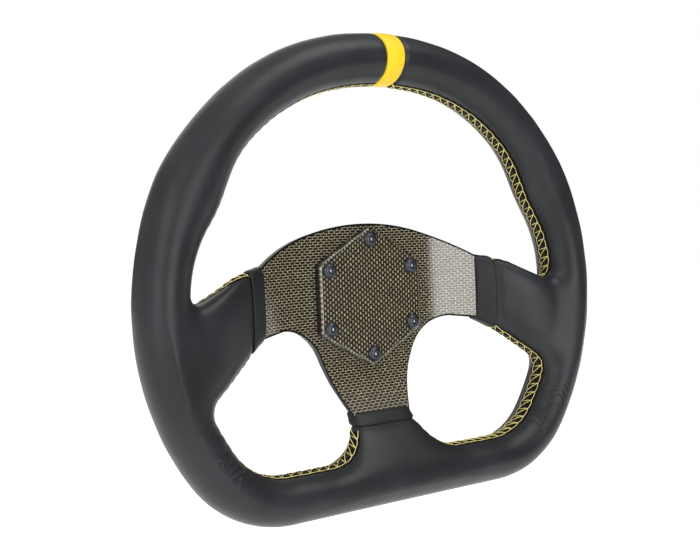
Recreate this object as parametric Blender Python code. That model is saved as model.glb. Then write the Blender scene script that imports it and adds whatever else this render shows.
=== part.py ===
"""Quick release steering wheel: D-shaped leather rim, dished three-spoke plate and ball-lock release hub.

Metres. The axis lies along Y and the driver sits on the -Y side; +Z points to twelve o'clock and
+X to three o'clock. The origin is on the axis, in the rear face of the release hub, where it meets
the steering column.
"""
import math

import bmesh
import bpy
from mathutils import Vector

MM = 0.001
GAP = 0.3 * MM                       # clearance kept between pieces that touch

# Rim: a big arc over the top and sides, two corner arcs and a flat bottom, all in the plane y = RIM_Y
RIM_RADIUS = 146.0 * MM
RIM_ARC_Z = -2.4 * MM                # height of the big arc's centre
CORNER_RADIUS = 54.0 * MM
FLAT_Z = -108.5 * MM                 # centreline of the flat bottom
TOP_FLATTENING = 3.2 * MM            # how far the crown is pressed down at twelve o'clock
TOP_FLAT_HALF = 60.0 * MM
GRIP_HALF_RADIAL = 14.4 * MM         # grip section, measured in the wheel's plane
GRIP_SWELL = 0.7 * MM                # more at the top, less at the bottom
GRIP_HALF_AXIAL = 18.0 * MM          # grip section, measured along the axis
THUMB_SWELL = 3.5 * MM               # thumb rests at ten and two o'clock
THUMB_SHIFT = 1.7 * MM               # the rests stand out mostly towards the inside
THUMB_ANGLE = math.radians(27.0)
THUMB_SPREAD = math.radians(10.0)
RIM_STEPS = 48
GRIP_SIDES = 12
LEATHER = 1.4 * MM
CORE_RADIUS = 5.0 * MM
CORE_SIDES = 8
MARK_HALF = 6.0 * MM                 # half width of the yellow centre mark

# Stack on the axis, from the column towards the driver
HUB_LENGTH = 45.0 * MM
FLANGE_THICKNESS = 7.0 * MM
ARMATURE_THICKNESS = 5.0 * MM
FACE_THICKNESS = 1.5 * MM
SPACER_THICKNESS = 3.5 * MM
CAP_THICKNESS = 2.2 * MM
ARMATURE_BACK_Y = -HUB_LENGTH - GAP
ARMATURE_FRONT_Y = ARMATURE_BACK_Y - ARMATURE_THICKNESS
ARMATURE_MID_Y = ARMATURE_BACK_Y - ARMATURE_THICKNESS / 2
FACE_BACK_Y = ARMATURE_FRONT_Y - GAP
FACE_FRONT_Y = FACE_BACK_Y - FACE_THICKNESS
SPACER_BACK_Y = FACE_FRONT_Y - GAP
CAP_BACK_Y = SPACER_BACK_Y - SPACER_THICKNESS - GAP
CAP_FRONT_Y = CAP_BACK_Y - CAP_THICKNESS
DISH = 27.4 * MM                     # how far the spokes rise from the centre to the rim
RIM_Y = ARMATURE_MID_Y - DISH
DISH_START = 40.0 * MM
SIDE_DISH_RUN = 86.0 * MM
LOWER_DISH_RUN = 64.0 * MM

# Outline of the face plate, right half
PLATE_TOP_Z = 44.8 * MM
PLATE_TOP_RADIUS = 148.0 * MM
CUFF_X = 78.2 * MM                   # where the plate runs into the side cuffs
CUFF_Z_LOW = -19.0 * MM
NOTCH_X = 62.0 * MM                  # centre of the hand opening's upper corner
NOTCH_RADIUS = 30.0 * MM
NOTCH_Z = -46.4 * MM
NOTCH_END = math.radians(159.6)
LOWER_CUFF_Z = -68.4 * MM
LOWER_CUFF_HALF = 20.6 * MM
ARMATURE_INSET = 0.8 * MM
PLATE_TOP_STEPS = 8
NOTCH_STEPS = 6
ARM_STOPS = (CUFF_X, 100.0 * MM, 120.0 * MM)
SIDE_FOLDS = (40.0 * MM, 52.0 * MM, 64.0 * MM, 78.0 * MM, 92.0 * MM, 106.0 * MM, 120.0 * MM)
LOWER_FOLDS = (40.0 * MM, 52.0 * MM, 64.0 * MM, 76.0 * MM, 90.0 * MM)
PLATE_BORE = 18.0 * MM               # clearance hole round the wires on the axis
DRILL_LENGTH = 30.0 * MM             # long enough to pass through any stack of plates

# Hexagonal hub cap and its screws
HEX_RADIUS = 42.4 * MM
HEX_CORNER = 5.0 * MM
HEX_BEVEL = 0.8 * MM
SPACER_INSET = 0.4 * MM
BOLT_CIRCLE_RADIUS = 35.0 * MM
BOLT_COUNT = 6
SCREW_HOLE_RADIUS = 2.75 * MM
THREAD_HOLE_RADIUS = 2.6 * MM
SCREW_SHANK_RADIUS = 2.25 * MM
SCREW_HEAD_RADIUS = 4.75 * MM
SCREW_HEAD_HEIGHT = 2.75 * MM
SCREW_LENGTH = 19.6 * MM
SOCKET_RADIUS = 1.73 * MM
SOCKET_DEPTH = 1.6 * MM
SCREW_SIDES = 12
BOLT_HOLE_SIDES = 8
BORE_SIDES = 16

# Release hub
FLANGE_RADIUS = 43.0 * MM
BARREL_RADIUS = 16.8 * MM
BORE_CREST = 12.6 * MM
BORE_ROOT = 11.4 * MM
BORE_DEPTH = 34.0 * MM
WIRE_HOLE = 8.0 * MM
HUB_SIDES = 24
BALL_COUNT = 6
BALL_RADIUS = 3.0 * MM
BALL_HOLE_RADIUS = 3.3 * MM
BALL_HOLE_LENGTH = 10.0 * MM
BALL_HOLE_SIDES = 12
BALL_Y = -12.0 * MM
BALL_CENTRE = 14.0 * MM
COLLAR_RAMP = 0.2                    # the ramp lets the balls out by this much for each unit of slide
COLLAR_LAND = 17.35 * MM
COLLAR_FRONT_Y = -29.0 * MM
COLLAR_SHOULDER_Y = -19.0 * MM
COLLAR_BACK_Y = -2.5 * MM
RAMP_START_Y = -15.5 * MM
COLLAR_POCKET = 21.5 * MM
COLLAR_RADIUS = 26.0 * MM
COLLAR_LIP = 29.5 * MM
LIP_THICKNESS = 5.0 * MM
RING_GROOVE = 15.6 * MM
RING_INNER = 15.95 * MM
RING_OUTER = 20.8 * MM
RING_FRONT_Y = -2.1 * MM
RING_BACK_Y = -0.9 * MM
SPRING_RADIUS = 19.1 * MM
WIRE_RADIUS = 0.8 * MM
SPRING_TURNS = 5
SPRING_STEPS = 12
SPRING_SIDES = 5

# Leather sleeves over the spokes: place along the spoke, middle and half width across it, half thickness
SIDE_SLEEVE = (
    (78.5 * MM, 1.4 * MM, 20.7 * MM, 6.5 * MM),
    (89.5 * MM, -2.9 * MM, 22.8 * MM, 7.6 * MM),
    (100.0 * MM, -8.3 * MM, 24.8 * MM, 9.0 * MM),
    (112.0 * MM, -15.9 * MM, 26.4 * MM, 11.0 * MM),
    (126.0 * MM, -24.5 * MM, 28.5 * MM, 13.0 * MM),
    (141.0 * MM, -31.0 * MM, 31.0 * MM, 14.5 * MM),
)
LOWER_SLEEVE = (
    (68.7 * MM, 0.0, 20.6 * MM, 6.5 * MM),
    (75.7 * MM, 0.0, 21.8 * MM, 7.6 * MM),
    (83.0 * MM, 0.0, 24.8 * MM, 9.5 * MM),
    (91.0 * MM, 0.0, 32.0 * MM, 12.0 * MM),
    (99.0 * MM, 0.0, 41.0 * MM, 13.5 * MM),
    (107.0 * MM, 0.0, 50.0 * MM, 14.0 * MM),
)
SLEEVE_SIDES = 16
SLEEVE_SQUARENESS = 0.62             # power of the section's superellipse: 1 is round, 0 is square
INNER_END = 6.0 * MM                 # how far a hollow runs past the sleeve's mouth
ARM_HALF_ROOT = 14.0 * MM
ARM_HALF_TIP = 9.0 * MM

# Laced seams along the inside of the rim
LACE_HALF_ANGLE = math.radians(17.0)
LACE_THICKNESS = 0.7 * MM
UPPER_LACE_END_Z = 12.0 * MM         # the lacing stops where the spokes' leather joins the rim
LOWER_LACE_START_Z = -64.0 * MM
LOWER_LACE_END_X = 54.0 * MM


def clear_scene():
    for old in list(bpy.data.objects):
        bpy.data.objects.remove(old, do_unlink=True)


def material(name, colour, roughness, metallic=0.0):
    finish = bpy.data.materials.new(name)
    finish.use_nodes = True
    shader = finish.node_tree.nodes["Principled BSDF"]
    shader.inputs["Base Color"].default_value = (*colour, 1.0)
    shader.inputs["Roughness"].default_value = roughness
    shader.inputs["Metallic"].default_value = metallic
    return finish


FINISHES = {
    "black_leather": ((0.035, 0.036, 0.040), 0.45, 0.0),
    "yellow_leather": ((0.90, 0.62, 0.03), 0.5, 0.0),
    "yellow_thread": ((0.80, 0.68, 0.25), 0.6, 0.0),
    "foam": ((0.05, 0.05, 0.05), 0.9, 0.0),
    "steel": ((0.45, 0.45, 0.46), 0.35, 1.0),
    "black_aluminium": ((0.03, 0.03, 0.03), 0.4, 0.6),
    "carbon_weave": ((0.25, 0.22, 0.14), 0.15, 0.0),
    "black_plastic": ((0.02, 0.02, 0.02), 0.4, 0.0),
    "screw_steel": ((0.08, 0.09, 0.11), 0.3, 0.9),
    "bright_aluminium": ((0.60, 0.61, 0.63), 0.3, 1.0),
}


def add_object(name, mesh, finish):
    piece = bpy.data.objects.new(name, mesh)
    bpy.context.scene.collection.objects.link(piece)
    if finish:
        mesh.materials.append(material(name, *FINISHES[finish]))
    return piece


def add_cutter(name, mesh):
    cutter = add_object(name, mesh, None)
    cutter.hide_render = True
    cutter.display_type = "WIRE"
    return cutter


def combine(piece, tool, operation):
    modifier = piece.modifiers.new(operation.lower(), "BOOLEAN")
    modifier.operation = operation
    modifier.solver = "EXACT"
    modifier.object = tool


def shade(mesh, angle=35.0):
    mesh.shade_smooth()
    mesh.set_sharp_from_angle(angle=math.radians(angle))


def sweep_into(bm, sections, closed):
    """Skin a list of sections, each a loop of points, into one closed body with its faces outwards."""
    loops = [[bm.verts.new(point) for point in section] for section in sections]
    faces = []
    sides = len(loops[0])
    pairs = list(zip(loops, loops[1:]))
    if closed:
        pairs.append((loops[-1], loops[0]))
    for here, there in pairs:
        for i in range(sides):
            j = (i + 1) % sides
            faces.append(bm.faces.new((here[i], here[j], there[j], there[i])))
    if not closed:
        faces.append(bm.faces.new(list(reversed(loops[0]))))
        faces.append(bm.faces.new(loops[-1]))
    bmesh.ops.recalc_face_normals(bm, faces=faces)


def sweep_mesh(name, sections, closed=False):
    bm = bmesh.new()
    sweep_into(bm, sections, closed)
    return finish_mesh(name, bm)


def finish_mesh(name, bm):
    mesh = bpy.data.meshes.new(name)
    bm.to_mesh(mesh)
    bm.free()
    shade(mesh)
    return mesh


# ---------------------------------------------------------------- rim

def ease(u):
    """Half a cosine wave: 0 before the start, 1 after the end."""
    u = min(max(u, 0.0), 1.0)
    return (1.0 - math.cos(math.pi * u)) / 2.0


def dish_rise(x, z):
    """How far towards the driver a spoke has risen at a place on the plate."""
    side = ease((abs(x) - DISH_START) / SIDE_DISH_RUN)
    lower = ease((-z - DISH_START) / LOWER_DISH_RUN)
    return DISH * max(side, lower)


def half_line(s):
    """Point and outward normal on the right half of the rim's centreline, s metres from twelve o'clock."""
    corner_z = FLAT_Z + CORNER_RADIUS
    reach = RIM_RADIUS - CORNER_RADIUS
    corner_x = math.sqrt(reach ** 2 - (corner_z - RIM_ARC_Z) ** 2)
    joint = math.atan2(corner_z - RIM_ARC_Z, corner_x)
    big_arc = RIM_RADIUS * (math.pi / 2 - joint)
    corner_arc = CORNER_RADIUS * (joint + math.pi / 2)
    if s <= big_arc:
        angle = math.pi / 2 - s / RIM_RADIUS
        x = RIM_RADIUS * math.cos(angle)
        z = RIM_ARC_Z + RIM_RADIUS * math.sin(angle)
        if z > 0.0:
            z -= TOP_FLATTENING * math.exp(-(x / TOP_FLAT_HALF) ** 2)
        return x, z, math.cos(angle), math.sin(angle)
    if s <= big_arc + corner_arc:
        angle = joint - (s - big_arc) / CORNER_RADIUS
        x = corner_x + CORNER_RADIUS * math.cos(angle)
        return x, corner_z + CORNER_RADIUS * math.sin(angle), math.cos(angle), math.sin(angle)
    return corner_x - (s - big_arc - corner_arc), FLAT_Z, 0.0, -1.0


def half_length():
    corner_z = FLAT_Z + CORNER_RADIUS
    corner_x = math.sqrt((RIM_RADIUS - CORNER_RADIUS) ** 2 - (corner_z - RIM_ARC_Z) ** 2)
    joint = math.atan2(corner_z - RIM_ARC_Z, corner_x)
    return RIM_RADIUS * (math.pi / 2 - joint) + CORNER_RADIUS * (joint + math.pi / 2) + corner_x


def rim_line(s):
    """The whole centreline: s runs from twelve o'clock clockwise and is negative on the left half."""
    x, z, nx, nz = half_line(abs(s))
    side = 1.0 if s >= 0.0 else -1.0
    return side * x, z, side * nx, nz


def thumb_rest(x, z):
    """Share of the thumb rest at a place on the centreline: a bell round its middle."""
    return math.exp(-((math.atan2(z, abs(x)) - THUMB_ANGLE) / THUMB_SPREAD) ** 2)


def grip_half(x, z):
    """Half thickness of the grip in the wheel's plane, with the thumb rests."""
    return GRIP_HALF_RADIAL + GRIP_SWELL * math.sin(math.atan2(z, abs(x))) + THUMB_SWELL * thumb_rest(x, z)


def grip_point(s, around, lift):
    """Point on the grip at angle around (0 outwards, 180 degrees inwards), lift metres above the leather."""
    x, z, nx, nz = rim_line(s)
    radial = (grip_half(x, z) + lift) * math.cos(around) - THUMB_SHIFT * thumb_rest(x, z)
    axial = (GRIP_HALF_AXIAL + lift) * math.sin(around)
    return Vector((x + nx * radial, RIM_Y + axial, z + nz * radial))


def grip_section(s, lift):
    return [grip_point(s, 2 * math.pi * i / GRIP_SIDES, lift) for i in range(GRIP_SIDES)]


def ring_stops():
    """Places of the grip's sections: from the right of the centre mark, round the bottom, to its left."""
    length = half_length()
    start = MARK_HALF + GAP
    run = 2.0 * (length - start)
    stops = [start + run * i / RIM_STEPS for i in range(RIM_STEPS + 1)]
    return [s if s <= length else s - 2.0 * length for s in stops]


def rim_sections(lift):
    return [grip_section(s, lift) for s in ring_stops()]


def spoke_section(spoke, along, middle, half_width, half_thickness, shrink):
    """Rounded-box section across a spoke, square to it, carried on the dished armature."""
    points = []
    for i in range(SLEEVE_SIDES):
        angle = 2 * math.pi * (i + 0.5) / SLEEVE_SIDES
        across = math.copysign(abs(math.cos(angle)) ** SLEEVE_SQUARENESS, math.cos(angle))
        deep = math.copysign(abs(math.sin(angle)) ** SLEEVE_SQUARENESS, math.sin(angle))
        across = middle + (half_width - shrink) * across
        deep = (half_thickness - shrink) * deep
        if spoke == "lower":
            rise = dish_rise(0.0, -along)
            points.append(Vector((across, ARMATURE_MID_Y - rise + deep, -along)))
        else:
            rise = dish_rise(along, 0.0)
            side = 1.0 if spoke == "right" else -1.0
            points.append(Vector((side * along, ARMATURE_MID_Y - rise + deep, across)))
    return points


def sleeve_row(spoke, along):
    """Sleeve sizes at a place along the spoke, between the listed rows."""
    rows = LOWER_SLEEVE if spoke == "lower" else SIDE_SLEEVE
    if along <= rows[0][0]:
        return (along, *rows[0][1:])
    for low, high in zip(rows, rows[1:]):
        if along <= high[0]:
            share = (along - low[0]) / (high[0] - low[0])
            return (along, *(a + share * (b - a) for a, b in zip(low[1:], high[1:])))
    return rows[-1]


def sleeve_mesh(name, spoke, start, shrink):
    rows = LOWER_SLEEVE if spoke == "lower" else SIDE_SLEEVE
    stops = [start] + [row[0] for row in rows if row[0] > start + MM]
    sections = [spoke_section(spoke, *sleeve_row(spoke, stop), shrink) for stop in stops]
    return sweep_mesh(name, sections)


SPOKES = ("left", "right", "lower")
CUFF_END = {"left": SIDE_SLEEVE[1][0], "right": SIDE_SLEEVE[1][0], "lower": LOWER_SLEEVE[1][0]}
SPOKE_START = {"left": SIDE_SLEEVE[0][0], "right": SIDE_SLEEVE[0][0], "lower": LOWER_SLEEVE[0][0]}


def core_mesh(name, radius):
    """Round bar bent along the rim's centreline."""
    sections = []
    for s in ring_stops():
        x, z, nx, nz = rim_line(s)
        ring = []
        for i in range(CORE_SIDES):
            angle = 2 * math.pi * (i + 0.5) / CORE_SIDES
            out = radius * math.cos(angle)
            ring.append(Vector((x + nx * out, RIM_Y + radius * math.sin(angle), z + nz * out)))
        sections.append(ring)
    return sweep_mesh(name, sections, closed=True)


def make_rim_core():
    add_object("rim_core", core_mesh("rim_core", CORE_RADIUS), "steel")


def make_rim_foam(arm_cutter, channel):
    foam = add_object("rim_foam", sweep_mesh("rim_foam", rim_sections(-LEATHER - GAP), closed=True), "foam")
    for spoke in SPOKES:
        start = SPOKE_START[spoke] + GAP
        pad = add_cutter("foam_pad_" + spoke, sleeve_mesh("foam_pad_" + spoke, spoke, start, LEATHER + GAP))
        combine(foam, pad, "UNION")
    combine(foam, channel, "DIFFERENCE")
    combine(foam, arm_cutter, "DIFFERENCE")


def make_rim_leather():
    leather = add_object("rim_leather", sweep_mesh("rim_leather", rim_sections(0.0)), "black_leather")
    for spoke in SPOKES:
        start = CUFF_END[spoke] + GAP
        skin = add_cutter("skin_" + spoke, sleeve_mesh("skin_" + spoke, spoke, start, 0.0))
        combine(leather, skin, "UNION")
    hollow = add_cutter("rim_hollow", sweep_mesh("rim_hollow", rim_sections(-LEATHER), closed=True))
    combine(leather, hollow, "DIFFERENCE")
    for spoke in SPOKES:
        start = CUFF_END[spoke] - INNER_END
        mouth = add_cutter("mouth_" + spoke, sleeve_mesh("mouth_" + spoke, spoke, start, LEATHER))
        combine(leather, mouth, "DIFFERENCE")


def make_centre_mark():
    """The yellow strip: its wall section is carried once round the grip."""
    loop = []
    for i in range(2 * GRIP_SIDES):
        around = math.pi * i / GRIP_SIDES
        loop.append([
            grip_point(-MARK_HALF, around, 0.0),
            grip_point(MARK_HALF, around, 0.0),
            grip_point(MARK_HALF, around, -LEATHER),
            grip_point(-MARK_HALF, around, -LEATHER),
        ])
    add_object("centre_mark", sweep_mesh("centre_mark", loop, closed=True), "yellow_leather")


def make_cuff(spoke):
    """A leather band round the spoke's mouth: its wall section is carried once round the spoke."""
    name = spoke + "_cuff"
    stops = (SPOKE_START[spoke], CUFF_END[spoke])
    outer = [spoke_section(spoke, *sleeve_row(spoke, stop), 0.0) for stop in stops]
    inner = [spoke_section(spoke, *sleeve_row(spoke, stop), LEATHER) for stop in stops]
    loop = [[outer[0][i], outer[1][i], inner[1][i], inner[0][i]] for i in range(SLEEVE_SIDES)]
    add_object(name, sweep_mesh(name, loop, closed=True), "black_leather")


def lace_section(s):
    angles = [math.pi + LACE_HALF_ANGLE * k for k in (-1.0, 0.0, 1.0)]
    top = [grip_point(s, angle, GAP + LACE_THICKNESS) for angle in angles]
    bottom = [grip_point(s, angle, GAP) for angle in reversed(angles)]
    return top + bottom


def make_lacing():
    """One strip for each hand opening, on the same stops as the leather under it."""
    stops = ring_stops()
    places = [(s, *rim_line(s)[:2]) for s in stops]
    right = [s for s, x, z in places if s > 0.0 and z > UPPER_LACE_END_Z]
    left = [s for s, x, z in places if s < 0.0 and z > UPPER_LACE_END_Z]
    low_right = [s for s, x, z in places if x > LOWER_LACE_END_X and z < LOWER_LACE_START_Z]
    low_left = [s for s, x, z in places if x < -LOWER_LACE_END_X and z < LOWER_LACE_START_Z]
    runs = {"upper_lacing": left + right, "right_lacing": low_right, "left_lacing": low_left}
    for name, run in runs.items():
        add_object(name, sweep_mesh(name, [lace_section(s) for s in run]), "yellow_thread")


# ---------------------------------------------------------------- spoke plates

def plate_top(inset):
    """Right half of the plate's top edge, from the middle to the cuff, as (x, z) pairs."""
    radius = PLATE_TOP_RADIUS - inset
    stops = [CUFF_X * i / PLATE_TOP_STEPS for i in range(PLATE_TOP_STEPS + 1)]
    return [(x, PLATE_TOP_Z - PLATE_TOP_RADIUS + math.sqrt(radius ** 2 - x ** 2)) for x in stops]


def plate_notch(inset):
    """Right half of the plate's lower edge, from the side cuff round the hand opening to the lower cuff."""
    radius = NOTCH_RADIUS + inset
    edge = [(CUFF_X, CUFF_Z_LOW + inset)]
    for i in range(NOTCH_STEPS + 1):
        angle = math.pi / 2 + (NOTCH_END - math.pi / 2) * i / NOTCH_STEPS
        edge.append((NOTCH_X + radius * math.cos(angle), NOTCH_Z + radius * math.sin(angle)))
    edge.append((LOWER_CUFF_HALF - inset, LOWER_CUFF_Z))
    return edge


def both_halves(right):
    return right + [(-x, z) for x, z in reversed(right) if x > 0.0]


def plate_outline(inset):
    """Closed outline of the three-spoke plate, clockwise from the top, as (x, z) pairs."""
    return both_halves(plate_top(inset) + plate_notch(inset))


def armature_outline(spread):
    """The plate's outline, with an arm run out of each spoke to the rim core; spread widens the arms."""
    tip_x = SIDE_SLEEVE[-1][0] + 2.0 * MM
    upper, lower = [], []
    for along in (*ARM_STOPS, tip_x):
        share = (along - CUFF_X) / (tip_x - CUFF_X)
        half = ARM_HALF_ROOT + share * (ARM_HALF_TIP - ARM_HALF_ROOT) + spread
        middle = sleeve_row("right", along)[1]
        upper.append((along, middle + half))
        lower.append((along, middle - half))
    side_arm = upper + lower[::-1]
    lower_arm = [(ARM_HALF_ROOT + spread, LOWER_CUFF_Z), (ARM_HALF_TIP + spread, FLAT_Z)]
    return both_halves(plate_top(ARMATURE_INSET) + side_arm + plate_notch(ARMATURE_INSET) + lower_arm)


def dished_plate(name, outline, front_y, back_y):
    """Flat outline cut into strips across the spokes, thickened and then dished."""
    bm = bmesh.new()
    face = bm.faces.new([bm.verts.new((x, front_y, z)) for x, z in outline])
    cuts = [((side * fold, 0, 0), (1, 0, 0)) for side in (-1, 1) for fold in SIDE_FOLDS]
    cuts += [((0, 0, -fold), (0, 0, 1)) for fold in LOWER_FOLDS]
    for place, normal in cuts:
        everything = bm.verts[:] + bm.edges[:] + bm.faces[:]
        bmesh.ops.bisect_plane(bm, geom=everything, dist=1e-6, plane_co=place, plane_no=normal)
    bmesh.ops.triangulate(bm, faces=bm.faces[:])
    made = bmesh.ops.extrude_face_region(bm, geom=bm.faces[:])["geom"]
    for vert in [item for item in made if isinstance(item, bmesh.types.BMVert)]:
        vert.co.y += back_y - front_y
    for vert in bm.verts:
        vert.co.y -= dish_rise(vert.co.x, vert.co.z)
    bmesh.ops.recalc_face_normals(bm, faces=bm.faces[:])
    return finish_mesh(name, bm)


def rod_into(bm, centre, direction, radius, length, sides):
    """A straight rod of the given length, centred on a point."""
    direction = Vector(direction).normalized()
    across = direction.orthogonal().normalized()
    other = direction.cross(across)
    sections = []
    for end in (-0.5, 0.5):
        middle = Vector(centre) + direction * length * end
        turns = [2 * math.pi * i / sides for i in range(sides)]
        sections.append([middle + (across * math.cos(t) + other * math.sin(t)) * radius for t in turns])
    sweep_into(bm, sections, False)


def bolt_places():
    for i in range(BOLT_COUNT):
        angle = math.pi / 2 - 2 * math.pi * i / BOLT_COUNT
        yield BOLT_CIRCLE_RADIUS * math.cos(angle), BOLT_CIRCLE_RADIUS * math.sin(angle)


def bolt_cutter(name, radius, middle_y, bore=0.0):
    bm = bmesh.new()
    for x, z in bolt_places():
        rod_into(bm, (x, middle_y, z), (0, 1, 0), radius, DRILL_LENGTH, BOLT_HOLE_SIDES)
    if bore:
        rod_into(bm, (0, middle_y, 0), (0, 1, 0), bore, DRILL_LENGTH, BORE_SIDES)
    return add_cutter(name, finish_mesh(name, bm))


def make_spoke_plates(channel):
    middle = (CAP_FRONT_Y + ARMATURE_BACK_Y) / 2
    drill = bolt_cutter("plate_drill", SCREW_HOLE_RADIUS, middle, bore=PLATE_BORE)
    face = add_object(
        "face_plate",
        dished_plate("face_plate", plate_outline(0.0), FACE_FRONT_Y, FACE_BACK_Y),
        "carbon_weave",
    )
    combine(face, drill, "DIFFERENCE")
    armature = add_object(
        "spoke_armature",
        dished_plate("spoke_armature", armature_outline(0.0), ARMATURE_FRONT_Y, ARMATURE_BACK_Y),
        "black_aluminium",
    )
    combine(armature, drill, "DIFFERENCE")
    combine(armature, channel, "DIFFERENCE")


# ---------------------------------------------------------------- hub cap

def hex_outline(radius, corner):
    """Hexagon with a point at twelve o'clock and rounded corners, as (x, z) pairs."""
    points = []
    inset = corner / math.cos(math.pi / 6)
    for k in range(6):
        angle = math.pi / 2 - k * math.pi / 3
        cx = (radius - inset) * math.cos(angle)
        cz = (radius - inset) * math.sin(angle)
        for step in (-2, -1, 0, 1, 2):
            turn = angle - step * math.pi / 12
            points.append((cx + corner * math.cos(turn), cz + corner * math.sin(turn)))
    return points


def make_hub_cap():
    middle = (CAP_FRONT_Y + SPACER_BACK_Y) / 2
    drill = bolt_cutter("cap_drill", SCREW_HOLE_RADIUS, middle)
    layers = (
        ("hex_spacer", "black_plastic", SPACER_BACK_Y, SPACER_BACK_Y - SPACER_THICKNESS, SPACER_INSET, 0.0),
        ("hex_cap", "carbon_weave", CAP_BACK_Y, CAP_FRONT_Y, 0.0, HEX_BEVEL),
    )
    for name, finish, back_y, front_y, inset, bevel in layers:
        outline = hex_outline(HEX_RADIUS - inset, HEX_CORNER)
        sections = [[Vector((x, back_y, z)) for x, z in outline]]
        sections.append([Vector((x, front_y + bevel, z)) for x, z in outline])
        if bevel:
            small = hex_outline(HEX_RADIUS - inset - bevel, HEX_CORNER - bevel)
            sections.append([Vector((x, front_y, z)) for x, z in small])
        plate = add_object(name, sweep_mesh(name, sections), finish)
        combine(plate, drill, "DIFFERENCE")


def make_screws():
    """Button-head screws: rings from the socket's floor, over the head and down the shank."""
    def ring(radius, depth, hexagonal=False):
        points = []
        for i in range(SCREW_SIDES):
            angle = 2 * math.pi * i / SCREW_SIDES
            reach = radius
            if hexagonal:
                reach = radius * math.cos(math.pi / 6) / math.cos(angle % (math.pi / 3) - math.pi / 6)
            points.append(Vector((reach * math.cos(angle), depth, reach * math.sin(angle))))
        return points

    head = SCREW_HEAD_HEIGHT
    rings = [
        ring(SOCKET_RADIUS, -head + SOCKET_DEPTH, hexagonal=True),
        ring(SOCKET_RADIUS, -head, hexagonal=True),
        ring(0.60 * SCREW_HEAD_RADIUS, -0.93 * head),
        ring(0.86 * SCREW_HEAD_RADIUS, -0.62 * head),
        ring(SCREW_HEAD_RADIUS, -0.22 * head),
        ring(SCREW_HEAD_RADIUS, -GAP),
        ring(SCREW_SHANK_RADIUS, -GAP),
        ring(SCREW_SHANK_RADIUS, SCREW_LENGTH),
    ]
    mesh = sweep_mesh("cap_screw", rings)
    mesh.materials.append(material("cap_screw", *FINISHES["screw_steel"]))
    for number, (x, z) in enumerate(bolt_places(), 1):
        screw = add_object(f"cap_screw_{number}", mesh, None)
        screw.location = (x, CAP_FRONT_Y, z)


# ---------------------------------------------------------------- release hub

def turned_mesh(name, profile, sides):
    """Carry a closed (radius, y) profile round the Y axis."""
    sections = []
    for i in range(sides):
        angle = 2 * math.pi * (i + 0.5) / sides
        sections.append([Vector((r * math.cos(angle), y, r * math.sin(angle))) for r, y in profile(i)])
    return sweep_mesh(name, sections, closed=True)


def ball_angles():
    for i in range(BALL_COUNT):
        yield 2 * math.pi * i / BALL_COUNT + math.pi / 6


def make_release_hub():
    flange_back = -HUB_LENGTH + FLANGE_THICKNESS

    def profile(i):
        bore = BORE_CREST if i % 2 else BORE_ROOT
        return [
            (FLANGE_RADIUS - MM, -HUB_LENGTH),
            (FLANGE_RADIUS, -HUB_LENGTH + MM),
            (FLANGE_RADIUS, flange_back - MM),
            (FLANGE_RADIUS - MM, flange_back),
            (BARREL_RADIUS, flange_back),
            (BARREL_RADIUS, RING_FRONT_Y - GAP),
            (RING_GROOVE, RING_FRONT_Y - GAP),
            (RING_GROOVE, RING_BACK_Y + GAP),
            (BARREL_RADIUS, RING_BACK_Y + GAP),
            (BARREL_RADIUS, 0.0),
            (bore, 0.0),
            (bore, -BORE_DEPTH),
            (WIRE_HOLE, -BORE_DEPTH),
            (WIRE_HOLE, -HUB_LENGTH),
        ]

    mesh = turned_mesh("release_hub", profile, HUB_SIDES)
    hub = add_object("release_hub", mesh, "black_aluminium")
    middle = -HUB_LENGTH + FLANGE_THICKNESS / 2
    threads = bolt_cutter("thread_drill", THREAD_HOLE_RADIUS, middle)
    combine(hub, threads, "DIFFERENCE")
    bm = bmesh.new()
    for angle in ball_angles():
        out = Vector((math.cos(angle), 0.0, math.sin(angle)))
        centre = out * BALL_CENTRE + Vector((0.0, BALL_Y, 0.0))
        rod_into(bm, centre, out, BALL_HOLE_RADIUS, BALL_HOLE_LENGTH, BALL_HOLE_SIDES)
    combine(hub, add_cutter("ball_drill", finish_mesh("ball_drill", bm)), "DIFFERENCE")


def make_release_collar():
    ramp_end = COLLAR_LAND + COLLAR_RAMP * (COLLAR_BACK_Y - RAMP_START_Y)

    def profile(_i):
        return [
            (COLLAR_RADIUS - MM, COLLAR_FRONT_Y),
            (COLLAR_RADIUS, COLLAR_FRONT_Y + MM),
            (COLLAR_RADIUS, COLLAR_BACK_Y - LIP_THICKNESS - 1.5 * MM),
            (COLLAR_LIP, COLLAR_BACK_Y - LIP_THICKNESS),
            (COLLAR_LIP, COLLAR_BACK_Y - MM),
            (COLLAR_LIP - MM, COLLAR_BACK_Y),
            (ramp_end, COLLAR_BACK_Y),
            (COLLAR_LAND, RAMP_START_Y),
            (COLLAR_LAND, COLLAR_SHOULDER_Y),
            (COLLAR_POCKET, COLLAR_SHOULDER_Y),
            (COLLAR_POCKET, COLLAR_FRONT_Y),
        ]

    mesh = turned_mesh("release_collar", profile, HUB_SIDES)
    add_object("release_collar", mesh, "bright_aluminium")


def make_retaining_ring():
    def profile(_i):
        return [
            (RING_OUTER, RING_FRONT_Y),
            (RING_OUTER, RING_BACK_Y),
            (RING_INNER, RING_BACK_Y),
            (RING_INNER, RING_FRONT_Y),
        ]

    add_object("retaining_ring", turned_mesh("retaining_ring", profile, HUB_SIDES), "steel")


def make_balls():
    bm = bmesh.new()
    bmesh.ops.create_icosphere(bm, subdivisions=2, radius=BALL_RADIUS)
    mesh = finish_mesh("lock_ball", bm)
    mesh.shade_smooth()
    mesh.materials.append(material("lock_ball", *FINISHES["steel"]))
    for number, angle in enumerate(ball_angles(), 1):
        ball = add_object(f"lock_ball_{number}", mesh, None)
        ball.location = (BALL_CENTRE * math.cos(angle), BALL_Y, BALL_CENTRE * math.sin(angle))


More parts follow.
